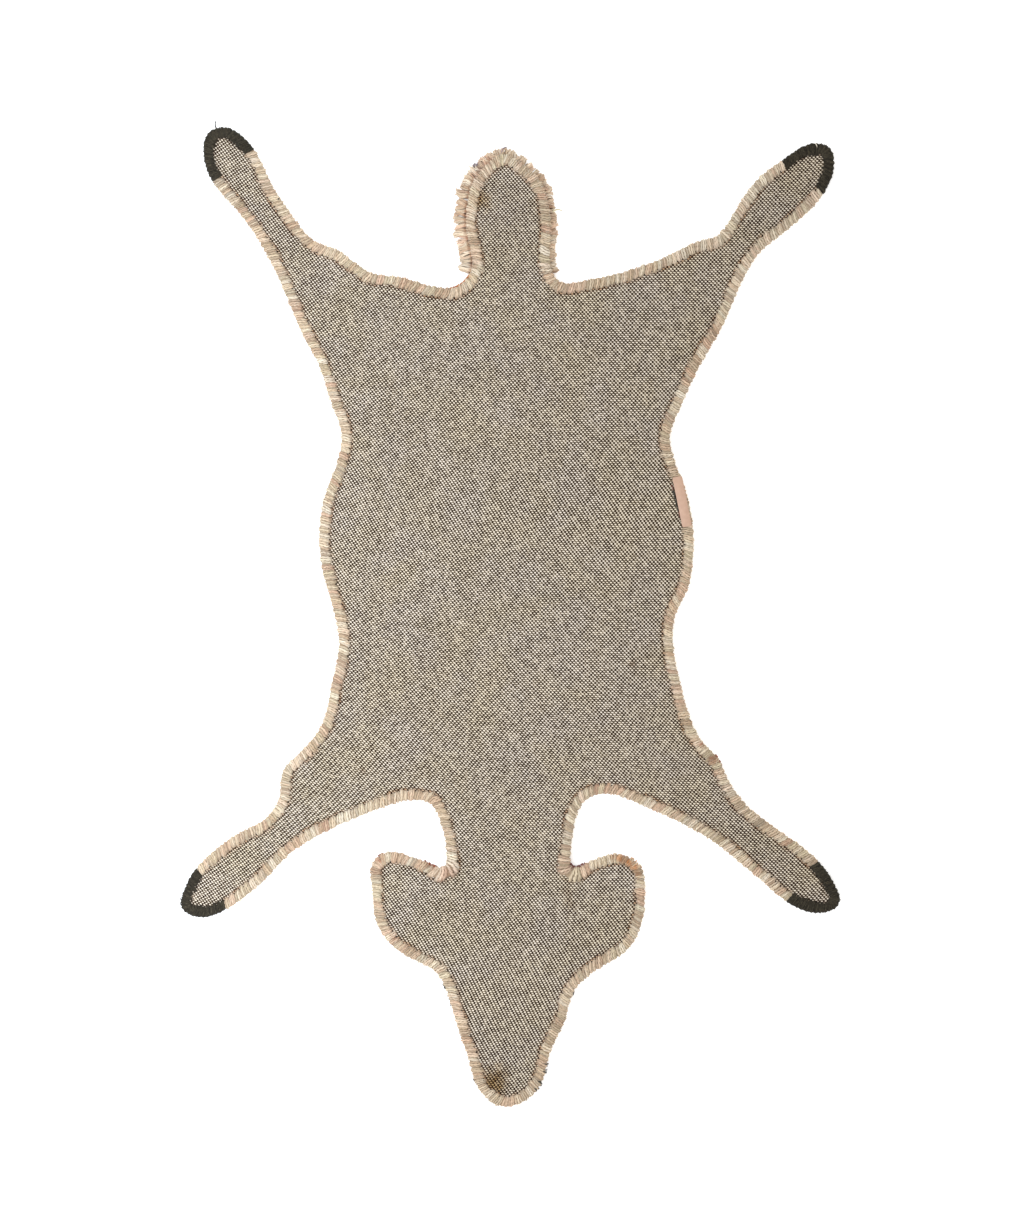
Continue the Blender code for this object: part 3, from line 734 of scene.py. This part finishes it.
def laidOnRing(points, ring):  # points of a loop moved onto a ring, kept in order along it
    ahead = np.roll(ring, -1, axis=0) - ring
    legs = np.linalg.norm(ahead, axis=1)
    starts = np.concatenate([[0], np.cumsum(legs)])
    offset = points[:, None] - ring[None]
    share = np.clip((offset * ahead[None]).sum(2) / (legs**2)[None], 0, 1)
    spots = ring[None] + share[..., None] * ahead[None]
    best = ((points[:, None] - spots) ** 2).sum(2).argmin(1)
    places = starts[best] + share[np.arange(len(points)), best] * legs[best]
    places = np.unwrap(places, period=starts[-1])
    spacing = 0.02 * np.arange(len(places))  # mm, so that no two points fall together
    places = np.maximum.accumulate(places - spacing) + spacing
    closed = np.concatenate([ring, ring[:1]])
    places %= starts[-1]
    return np.stack([np.interp(places, starts, closed[:, axis]) for axis in (0, 1)], axis=1)


def wovenCanvas(name, look, spots):
    material, tree, shader = newMaterial(name)
    place = addNode(tree, "UVMap", uv_map="weave")
    split = addNode(tree, "SeparateXYZ", {0: place})
    warp, weft = split.outputs["X"], split.outputs["Y"]
    warpNumber = addNode(tree, "Math", {0: warp}, operation="ROUND")
    weftNumber = addNode(tree, "Math", {0: weft}, operation="ROUND")

    def diagonal(sign):
        both = addNode(tree, "Math", {0: weft, 1: sign, 2: warp}, operation="MULTIPLY_ADD")
        turn = addNode(tree, "Math", {0: both, 1: math.pi}, operation="MULTIPLY")
        return addNode(tree, "Math", {0: turn}, operation="COSINE")

    # over and under: which thread lies on top, the cream weft or the dark warp, with painted light and shade:
    # each weft crown is brightest in the middle and shaded towards its ends; the crowns lean, because the
    # yarn is twisted, and each weft is round, painted lighter along its middle and darker between
    lesser = addNode(tree, "Math", {0: diagonal(-1), 1: 0.4}, operation="MULTIPLY")
    over = addNode(tree, "Math", {0: diagonal(1), 1: 0.6, 2: lesser}, operation="MULTIPLY_ADD")
    turn = addNode(tree, "Math", {0: weft, 1: math.tau}, operation="MULTIPLY")
    ridgeShade = addNode(tree, "Math", {0: turn}, operation="COSINE")
    over = addNode(tree, "Math", {0: ridgeShade, 1: look["weftRound"], 2: over}, operation="MULTIPLY_ADD")

    def uneven(x, y, scales):
        across = addNode(tree, "Math", {0: x, 1: scales[0]}, operation="MULTIPLY")
        down = addNode(tree, "Math", {0: y, 1: scales[1]}, operation="MULTIPLY")
        vector = addNode(tree, "CombineXYZ", {0: across, 1: down})
        return addNode(tree, "TexNoise", {"Vector": vector, "Scale": 1.0, "Detail": 2.0})

    slubs = uneven(warp, weftNumber, look["slubs"])  # thick places, about 5 threads long
    ends = uneven(warpNumber, weft, look["ends"])
    crossing = addNode(tree, "CombineXYZ", {0: warpNumber, 1: weftNumber})
    each = addNode(tree, "TexWhiteNoise", {"Vector": crossing}, noise_dimensions="2D")
    signal = over
    for pattern, share in zip((slubs, ends, each), look["unevenness"]):
        signal = addNode(tree, "Math", {0: pattern, 1: share, 2: signal}, operation="MULTIPLY_ADD")
    low, high = look["lightFrom"]
    light = addNode(tree, "MapRange", {"Value": signal, "From Min": low, "From Max": high},
                    interpolation_type="SMOOTHSTEP")
    tone = addNode(tree, "ValToRGB", {"Fac": light})
    ramp = tone.color_ramp
    ramp.elements[0].color = (*linear(look["dark"]), 1)
    ramp.elements[1].color = (*linear(look["cream"]), 1)
    # the two middle stops are the shaded sides of the threads: painted shade
    for position, code in ((0.3, look["darkShade"]), (0.64, look["creamShade"])):
        stop = ramp.elements.new(position)
        stop.color = (*linear(code), 1)
    # the canvas's colour attribute holds the painted shade and needle holes along the whipping's toe
    toe = addNode(tree, "Attribute", attribute_name="dye")
    colour = addNode(tree, "VectorMath", {0: tone, 1: toe}, operation="MULTIPLY")
    # slow drifts of tone over the cloth
    spot = addNode(tree, "NewGeometry").outputs["Position"]
    drift = addNode(tree, "TexNoise", {"Vector": spot, "Scale": perMetre(look["driftSize"]), "Detail": 3.0})
    drift = addNode(tree, "MapRange", {"Value": drift, "From Min": 0.3, "From Max": 0.7,
                                       "To Min": 0.785, "To Max": 0.815})
    colour = addNode(tree, "VectorMath", {0: colour, "Scale": drift}, operation="SCALE")
    cast = addNode(tree, "TexNoise", {"Vector": spot, "Scale": perMetre(look["castSize"]), "Detail": 4.0})
    cast = addNode(tree, "ValToRGB", {"Fac": cast})
    for stop, position, code in zip(cast.color_ramp.elements, (0.35, 0.65), look["casts"]):
        stop.position = position
        stop.color = (*linear(code), 1)
    colour = addNode(tree, "VectorMath", {0: colour, 1: cast}, operation="MULTIPLY").outputs["Vector"]
    ragged = addNode(tree, "TexNoise", {"Vector": spot, "Scale": perMetre(look["raggedSize"]), "Detail": 3.0})
    # the stains, and at the last two spots painted shade, are multiplied into the colour
    for x, y, radius, code, strength in spots:
        middle = (x * metre, y * metre, canvasHigh * metre)
        away = addNode(tree, "VectorMath", {0: spot, 1: middle}, operation="DISTANCE").outputs["Value"]
        reach = addNode(tree, "Math", {0: ragged, 1: radius * metre * 1.2, 2: away},
                        operation="MULTIPLY_ADD")
        stainAndShadeShare = addNode(tree, "MapRange", {"Value": reach, "From Min": radius * metre * 0.6,
                                            "From Max": radius * metre * 1.9, "To Min": strength,
                                            "To Max": 0.0}, interpolation_type="SMOOTHSTEP")
        stainedAndShaded = addNode(tree, "Mix", {"Factor": stainAndShadeShare, 6: colour, 7: (*linear(code), 1)},
                          data_type="RGBA", blend_type="MULTIPLY")
        colour = stainedAndShaded.outputs[2]
    fibres = addNode(tree, "TexNoise", {"Vector": spot, "Scale": perMetre(look["fibreSize"]), "Detail": 2.0})
    height = addNode(tree, "Math", {0: fibres, 1: 0.3, 2: over}, operation="MULTIPLY_ADD")
    relief = addNode(tree, "Bump", {"Height": height, "Strength": look["bump"],
                                    "Distance": look["bumpHeight"] * metre})
    tree.links.new(colour, shader.inputs["Base Color"])
    tree.links.new(relief.outputs["Normal"], shader.inputs["Normal"])
    shader.inputs["Roughness"].default_value = look["roughness"]
    shader.inputs["Specular IOR Level"].default_value = look["specular"]
    return material


flat, weave, crown, quads = canvasSheet(canvasLook)
rim = chained(rimEdges(quads))[0]
print("canvas", len(quads), "crossings,", len(rim), "rim points")
flat[rim] = laidOnRing(flat[rim], innerRing)
crown[rim] = 0
top = atHeight(flat, canvasHigh - canvasLook["crown"] + crown)
bottom = atHeight(flat[rim], canvasLow)
below = len(top) + np.arange(len(rim))
walls = np.stack([rim, below, np.roll(below, -1), np.roll(rim, -1)], axis=1)
toes = toeShade(flat, canvasLook)
canvas = newPiece("wovenCanvas", np.concatenate([top, bottom]), [quads, walls, below[None, ::-1]],
                  wovenCanvas("plainWeaveCanvas", canvasLook, stainsAndShade),
                  colours=np.concatenate([toes, toes[rim]]), uv=np.concatenate([weave, weave[rim]]))
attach(canvas, "root")
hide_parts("canvas")


# pile: cut tufts, seen at the rug's rim and from below
pileLook = {
    "tuftPitch": 3.1, "tuftRadius": 1.5, "lowest": 0.9,
    # the rim's rows of tufts: mm in, mm high, mm that the tips splay, share of the tufts
    "rimRows": ((3.0, 8.6, -0.6, 1.0), (5.6, 8.4, 0.4, 0.75)),
    # a tuft from root to tip: share of its radius further in, share of its height
    "tuftCourse": np.array([(0.0, 1.0), (-0.55, 0.72), (-0.85, 0.42), (-0.45, 0.18), (0.0, 0.0)]),
    "tuftShape": np.array([0.75, 1.0, 1.08, 1.0, 0.62]),
    # the field under the rug: mm from tip to tip, mm in from the rim, mm high between the tips
    "fieldStep": 2.7, "fieldIn": 1.0, "fieldHeight": 1.3,
}
# where the pile's colour stands out: x, y, radius, colour, strength
pileSpots = [
    (118, -240, 14, "rust", 0.95), (66, -249, 12, "maroon", 0.9), (-130, -240, 7, "rust", 0.9),
    (-79, -245, 8, "rust", 0.9), (-65, -371, 6, "charcoal", 0.9), (-36, -463, 5, "charcoal", 0.9),
    (61, -376, 4, "charcoal", 0.9), (35, -453, 9, "charcoal", 0.9), (28, -468, 6, "charcoal", 0.8),
]


def pileColours(paths, along, dark):
    if dark:
        return np.broadcast_to(charcoalColours((len(paths), 1), 0.25), paths.shape)
    tone, blush = creamTone(along, len(along))
    shape = paths.shape[:2]
    colours = creamColours(np.broadcast_to(tone[:, None], shape), np.broadcast_to(blush[:, None], shape))
    return spotted(colours, paths[..., :2], pileSpots)


def rimTufts(start, end, look, dark):
    rows = []
    course, lowest = look["tuftCourse"], look["lowest"]
    for inward, top, splay, share in look["rimRows"]:
        count = round((end - start) / look["tuftPitch"] * share)
        along = start + (np.arange(count) + rng.uniform(0.2, 0.8, count)) * (end - start) / count
        bulge = rng.uniform(0.6, 1.5, (count, 1))
        depth = inward + course[:, 0] * look["tuftRadius"] * bulge + rng.normal(0, 0.35, (count, 1))
        depth = depth + splay * (1 - course[:, 1]) * rng.uniform(0, 1.4, (count, 1))
        sway = rng.normal(0, 1.0, (count, 1)) * (1 - course[:, 1])
        flat = fromEdge((along[:, None] + sway).ravel(), depth.ravel()).reshape(count, len(course), 2)
        height = lowest + course[:, 1] * (top - lowest) + rng.uniform(0, 0.5, (count, 1))
        rows.append((atHeight(flat, height), along))
    paths, along = (np.concatenate(part) for part in zip(*rows))
    radii = look["tuftRadius"] * look["tuftShape"] * rng.uniform(0.8, 1.2, (len(along), 1))
    return strands(paths, sideAt(along), radii, pileColours(paths, along, dark), twist=0.2)


# tufts of other colours that peep out past the whipping: x and y at both ends, colours, tufts per mm, mm out
peeping = [
    (-60, 329, -40, 343, ("orange", "rust"), 2.0, 0.9),
    (120, -243, 130, -255, ("tan", "orange"), 0.6, -0.4),
    (60, -247, 77, -250, ("maroon", "maroon"), 2.0, 0.5),
    (-134, -240, -124, -247, ("rust", "maroon"), 1.5, 0.6),
    (-84, -245, -73, -252, ("maroon", "rust"), 1.8, 0.7),
    (-66, -368, -63, -374, ("charcoal", "charcoal"), 1.0, 1.0),
    (-60, -378, -56, -389, ("charcoal", "charcoal"), 0.4, 0.8),
    (-36.5, -462, -35.5, -464, ("charcoal", "grey"), 1.0, 1.0),
    (61, -373, 62, -379, ("charcoal", "charcoal"), 1.0, 0.9),
    (36, -446, 33, -456, ("charcoal", "charcoal"), 0.9, 1.1),
    (30.5, -465, 27, -471, ("charcoal", "charcoal"), 1.0, 1.1),
    (203, -140, 207, -150, ("rust", "maroon"), 1.0, 0.5),
]


def peepingTufts(rows):
    parts = []
    for x0, y0, x1, y1, colourNames, perMm, out in rows:
        start, end = sorted((nearestAlong(x0, y0), nearestAlong(x1, y1)))
        count = max(2, round((end - start) * perMm))
        along = rng.uniform(start, end, count)
        t = np.linspace(0, 1, 5)
        past = out * rng.uniform(0.5, 1.2, (count, 1)) + 1.2
        inward = 2.5 - (2.5 + past) * np.sin(t * math.pi * 0.5)
        where = along[:, None] + rng.normal(0, 1.0, (count, 1)) * t
        flat = fromEdge(where.ravel(), inward.ravel()).reshape(count, 5, 2)
        paths = atHeight(flat, canvasHigh - 1.0 - rng.uniform(0, 2.0, (count, 1)) - 3.5 * t**1.5)
        colours = np.broadcast_to(blended(*colourNames, rng.uniform(0, 1, (count, 1, 1))), paths.shape)
        radii = rng.uniform(0.6, 0.85, (count, 1)) * np.array([1, 1, 1, 1, 0.8])
        parts.append(strands(paths, sideAt(along), radii, colours))
    return parts


def pileField(region, look, top, dark):  # a slab whose lower face is a close field of tuft tips
    step = look["fieldStep"]
    rowShare = 0.866  # of the step from row to row, for a lattice of equal-sided triangles
    low, high = region.min(0) - step, region.max(0) + step
    rows, columns = np.meshgrid(np.arange(int((high[1] - low[1]) / (step * rowShare)) + 2),
                                np.arange(int((high[0] - low[0]) / step) + 2), indexing="ij")
    x = low[0] + (columns + 0.5 * (rows % 2)) * step
    y = low[1] + rows * step * rowShare
    inside = insideRing(np.stack([x.ravel(), y.ravel()], 1), region).reshape(x.shape)
    number = np.arange(x.size).reshape(x.shape)
    a, b, c, d = number[:-1, :-1], number[:-1, 1:], number[1:, :-1], number[1:, 1:]
    even = (rows[:-1, :-1] % 2 == 0)[..., None]
    first = np.where(even, np.stack([a, b, c], 2), np.stack([a, b, d], 2))
    second = np.where(even, np.stack([b, d, c], 2), np.stack([a, d, c], 2))
    faces = np.concatenate([first.reshape(-1, 3), second.reshape(-1, 3)])
    faces = faces[inside.ravel()[faces].all(1)]
    tip = (rows % 2 == 0) & ((columns + (rows // 2)) % 2 == 0)
    used, faces = np.unique(faces, return_inverse=True)
    faces = faces.reshape(-1, 3)
    flat = np.stack([x.ravel(), y.ravel()], 1)[used] + rng.normal(0, 0.25, (len(used), 2))
    tipHeight = rng.uniform(0.0, 0.35, len(used))
    between = look["fieldHeight"] + rng.uniform(-0.3, 0.3, len(used))
    points = atHeight(flat, np.where(tip.ravel()[used], tipHeight, between))
    rim = rimEdges(faces)
    rimNumbers = np.unique(rim)
    lid = {int(corner): len(points) + place for place, corner in enumerate(rimNumbers)}
    walls = np.array([[lid[here], here, there, lid[there]] for here, there in rim])
    caps = [np.array([[lid[corner] for corner in loop]]) for loop in chained(rim) if len(loop) > 2]
    points = np.concatenate([points, atHeight(flat[rimNumbers], top)])
    if dark:
        colours = charcoalColours(len(points), 0.25)
    else:
        tone = np.clip(rng.normal(0.45, 0.25, len(points)), 0, 1)
        colours = creamColours(tone, np.clip(rng.normal(0.3, 0.2, len(points)), 0, 1))
    return points, [faces[:, ::-1], walls[:, ::-1], *caps], colours, points


def fieldUnder(node, look, dark):
    region = movedOut(faceRing(node, False)[::-1], -look["fieldIn"])
    return pileField(region, look, pileHigh, dark)


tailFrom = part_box("pile_tail")[0][1] * 1000 + 1.5
tailHalf = 60  # mm, more than half the tail's width
tailMask = (edge[:, 1] > tailFrom) & (np.abs(edge[:, 0]) < tailHalf)
tailStart = np.flatnonzero(tailMask & ~np.roll(tailMask, 1))[0] * edgeStep
tailEnd = tailStart + tailMask.sum() * edgeStep


def withoutTail(start, end):
    if start < tailStart < end:
        return [(start, tailStart), (tailEnd, end)]
    return [(start, end)]


bodyParts = [fieldUnder("pile_body", pileLook, False)]
for node, (start, end) in whippingAt.items():
    if "hoof" in node:
        continue
    for low, high in withoutTail(start, end):
        bodyParts.append(rimTufts(low, high, pileLook, False))
bodyParts += peepingTufts(peeping)
points, faceRows, colours, vectors = join(*bodyParts)
bodyPile = newPiece("bodyPile", points, faceRows, creamWool, colours, vectors)
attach(bodyPile, "root")
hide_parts("pile_body")
for node, (start, end) in whippingAt.items():
    if "hoof" not in node:
        continue
    pileNode = node.replace("whipping_", "pile_")
    parts = [fieldUnder(pileNode, pileLook, True), rimTufts(start, end, pileLook, True)]
    points, faceRows, colours, vectors = join(*parts)
    piece = newPiece(pieceName(pileNode), points, faceRows, charcoalWool, colours, vectors)
    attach(piece, "root")
    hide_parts(pileNode)
print("pile", len(bodyPile.data.polygons), "faces in the body")


# the tail's longer pile, whose locks lie out past the whipping
tailLook = {
    # the groove setting darkens the sides of each strand with painted shade
    "pitch": 1.3, "radius": 0.8, "lockPitch": 4.6, "rings": 9, "root": 4.0, "groove": 0.42,
    # share of the way round the tail, mm past the edge
    "reach": [(0.0, 6.2), (0.4, 6.7), (0.52, 8.0), (0.7, 12.7), (1.0, 13.0)],
    "lobes": (19.0, 12.5, 8.0), "lobeReach": 1.4,  # mm from lobe to lobe of the rim, and mm they stand out
    # root and tip height, share of the reach, thickness
    "layers": [(8.2, 5.6, 1.0, 1.0), (6.4, 3.4, 0.96, 1.0), (4.4, 2.0, 0.96, 1.9)],
    "gap": (0.56, 0.4, 0.32),  # what is left of the light where the left's locks come out from under the edge
}


def tailLocks(look):
    length = tailEnd - tailStart
    parts = []
    shares, reaches = zip(*look["reach"])
    rings = look["rings"]
    t = np.linspace(0, 1, rings)
    for rootHeight, tipHeight, longness, thickness in look["layers"]:
        count = round(length / look["pitch"])
        along = tailStart + (np.arange(count) + rng.uniform(0.2, 0.8, count)) * length / count
        around = (along - tailStart) / length
        lock = (along - tailStart) / look["lockPitch"] + 0.3 * rng.uniform(-1, 1, count)
        lock = np.floor(lock).astype(int)
        lock -= lock.min()
        locks = lock.max() + 1
        middle = tailStart + (lock + 0.5) * look["lockPitch"]
        reach = np.interp(around, shares, reaches) + look["lobeReach"] * smoothNoise(along, look["lobes"], 31)
        reach = reach * longness * rng.uniform(0.86, 1.08, locks)[lock] + rng.normal(0, 0.35, count)
        inward = look["root"] - (look["root"] + reach[:, None]) * t
        gather = (middle - along)[:, None] * 0.4 * np.sin(t * math.pi)
        lean = rng.normal(0, 2.0, locks)[lock][:, None] * t**1.5 + rng.normal(0, 0.8, count)[:, None] * t**2.5
        crimp = rng.normal(0, 0.6, locks)[lock][:, None] * np.sin(t * math.tau)
        where = along[:, None] + gather + (lean + crimp) + rng.normal(0, 0.12, (count, rings))
        flat = fromEdge(where.ravel(), inward.ravel()).reshape(count, rings, 2)
        height = rootHeight + (tipHeight - rootHeight) * t**1.6 + 1.1 * np.sin(t * math.pi)
        height = height + rng.normal(0, 0.3, (count, 1)) * t + rng.normal(0, 0.5, locks)[lock][:, None] * t
        paths = atHeight(flat, np.maximum(height, look["radius"] * thickness * 1.15))
        body = np.interp(t, (0, 0.2, 0.8, 0.92, 1), (0.9, 1, 1.04, 1.0, 0.7))
        radii = look["radius"] * thickness * rng.uniform(0.8, 1.15, (count, 1)) * body
        tone, blush = creamTone(along + 400, count)
        tone = np.clip(tone + rng.normal(0, 0.2, locks)[lock], 0, 1)
        blush = np.clip(blush - 0.05 + rng.normal(0, 0.25, locks)[lock], 0, 1)
        colours = creamColours(np.repeat(tone[:, None], rings, 1), np.repeat(blush[:, None], rings, 1))
        # rosier towards the tips, and in the edge's shade on the left
        rosier = np.interp(around, (0, 0.5, 0.65, 1), (0.2, 0.18, 0.1, 0.1))[:, None]
        outer = (np.clip(-inward / 8, 0, 1) * rosier)[..., None]
        colours = colours * (1 - outer) + wool["rose"] * outer
        colours = spotted(colours, paths[..., :2], yarnSpots)
        colours = colours * rng.normal(1, 0.09, locks)[lock][:, None, None]
        shaded = np.interp(around, (0, 0.55, 0.7, 1), (0.25, 0.3, 1, 1))[:, None]
        under = (np.exp(-(((inward + 1.6) / 1.5) ** 2)) * shaded)[..., None]
        colours = colours * (1 - under * (1 - np.array(look["gap"])))
        parts.append(strands(paths, sideAt(along), radii, colours, groove=look["groove"]))
    return parts


tailGround = fromEdge(np.arange(tailStart + 2, tailEnd - 2, 2.0), tailLook["root"])
tailParts = [pileField(tailGround, pileLook, pileHigh, False), *tailLocks(tailLook)]
tailParts.append(fuzz(tailStart, tailEnd, {**fuzzLook, "perMm": 0.9}, ("cream", "sand"),
                      low=-6.0, high=1.4, deepest=3.0))
points, faceRows, colours, vectors = join(*tailParts)
tailPile = newPiece("tailPile", points, faceRows, creamWool, colours, vectors)
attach(tailPile, "root")
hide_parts("pile_tail")
print("tail", len(tailPile.data.polygons), "faces")


# bare tab of vegetable-tanned leather over the whipping: pale, satin, a little mottled
tabLook = {
    "colour": "#bd9b84", "edge": "#a6846f", "roughness": 0.55, "rounding": 0.35,
    "mottleSize": 4.17, "poreSize": 0.6667,  # mm; real pores lie 0.2 mm apart, too fine to show
    "poreStrength": 0.3, "poreDepth": 0.2,
    "sewnOut": (1.5, 0.45),  # mm that it was sewn beyond its place, as photographed
}


def leather(name, look):
    material, tree, shader = newMaterial(name)
    spot = addNode(tree, "NewGeometry").outputs["Position"]
    pores = addNode(tree, "TexVoronoi", {"Vector": spot, "Scale": perMetre(look["poreSize"])})
    mottle = addNode(tree, "TexNoise", {"Vector": spot, "Scale": perMetre(look["mottleSize"]), "Detail": 4.0})
    mix = addNode(tree, "Mix", {"Factor": mottle, 6: (*linear(look["colour"]), 1),
                                7: (*linear(look["edge"]), 1)}, data_type="RGBA")
    relief = addNode(tree, "Bump", {"Height": pores, "Strength": look["poreStrength"],
                                    "Distance": look["poreDepth"] * metre})
    tree.links.new(mix.outputs[2], shader.inputs["Base Color"])
    tree.links.new(relief.outputs["Normal"], shader.inputs["Normal"])
    shader.inputs["Roughness"].default_value = look["roughness"]
    return material


def roundedStrip(ringNode, look):
    ring = faceRing(ringNode, False)[::-1] + look["sewnOut"]
    bottom, top = (corner[2] * 1000 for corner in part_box(ringNode))
    rounding = look["rounding"]
    levels = [(rounding, bottom), (0.0, bottom + rounding), (0.0, top - rounding),
              (rounding * 0.4, top - rounding * 0.3), (rounding, top)]
    loops = [atHeight(movedOut(ring, -inward), level) for inward, level in levels]
    number = np.arange(len(ring) * len(levels)).reshape(len(levels), len(ring))
    ahead = np.roll(number, -1, axis=1)
    quads = np.stack([number[:-1], ahead[:-1], ahead[1:], number[1:]], axis=2).reshape(-1, 4)
    return np.concatenate(loops), [quads, number[:1, ::-1], number[-1:]]


points, faceRows = roundedStrip("tab", tabLook)
tab = newPiece("leatherTab", points, faceRows, leather("vegetableTannedLeather", tabLook))
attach(tab, "root")
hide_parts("tab")


# floor, light and camera, as in a studio picture taken from straight above
studio = {
    "floor": "#fafafa", "floorShade": "#f8f8f8", "shadeSize": 333,  # mm from shade to shade
    "floorRoughness": 0.9, "glow": 0.4, "worldColour": "#fffdf9", "worldStrength": 1.0,
    "keyPower": 9.5, "keySize": (0.8, 1.5), "keyAt": (-0.405, -0.06, 0.6), "keyColour": "#e4f0ff",
    "pictureHeight": 1.229, "centre": (0.002, 0.0025), "distance": 3.4, "lens": 100.0,
}


def lightTable(name, look):  # an opal acrylic sheet: white, matt, almost even
    material, tree, shader = newMaterial(name)
    spot = addNode(tree, "NewGeometry").outputs["Position"]
    shade = addNode(tree, "TexNoise", {"Vector": spot, "Scale": perMetre(look["shadeSize"]), "Detail": 2.0})
    mix = addNode(tree, "Mix", {"Factor": shade, 6: (*linear(look["floor"]), 1),
                                7: (*linear(look["floorShade"]), 1)}, data_type="RGBA")
    tree.links.new(mix.outputs[2], shader.inputs["Base Color"])
    shader.inputs["Roughness"].default_value = look["floorRoughness"]
    # lit a little from below, as a light table is, so no shadow shows beside the rug
    shader.inputs["Emission Color"].default_value = (1, 1, 1, 1)
    shader.inputs["Emission Strength"].default_value = look["glow"]
    return material


def makeStudio(look):
    scene = bpy.context.scene
    scene.view_settings.view_transform = "Standard"
    size = 12000.0  # mm each way
    corners = [(-size, -size, 0), (size, -size, 0), (size, size, 0), (-size, size, 0)]
    floor = newPiece("floor", corners, [np.array([[0, 1, 2, 3]])], lightTable("whiteLightTable", look))
    world = bpy.data.worlds.new("softRoom")
    scene.world = world
    world.use_nodes = True
    background = world.node_tree.nodes["Background"]
    background.inputs["Color"].default_value = (*linear(look["worldColour"]), 1)
    background.inputs["Strength"].default_value = look["worldStrength"]
    # a softbox hung low over the left flank: that side of the cloth is brighter and a little cooler
    key = bpy.data.lights.new("softKey", "AREA")
    key.shape = "RECTANGLE"
    key.size, key.size_y = look["keySize"]
    key.energy = look["keyPower"]
    key.color = linear(look["keyColour"])
    keyObject = bpy.data.objects.new("softKey", key)
    keyObject.location = look["keyAt"]
    keyObject.visible_camera = False
    scene.collection.objects.link(keyObject)
    camera = bpy.data.cameras.new("overhead")
    camera.lens = look["lens"]
    camera.sensor_width = look["pictureHeight"] * look["lens"] / (look["distance"] - canvasHigh * metre)
    camera.clip_end = 100
    cameraObject = bpy.data.objects.new("overhead", camera)
    cameraObject.location = (*look["centre"], look["distance"])
    scene.collection.objects.link(cameraObject)
    scene.camera = cameraObject


makeStudio(studio)
print("done")
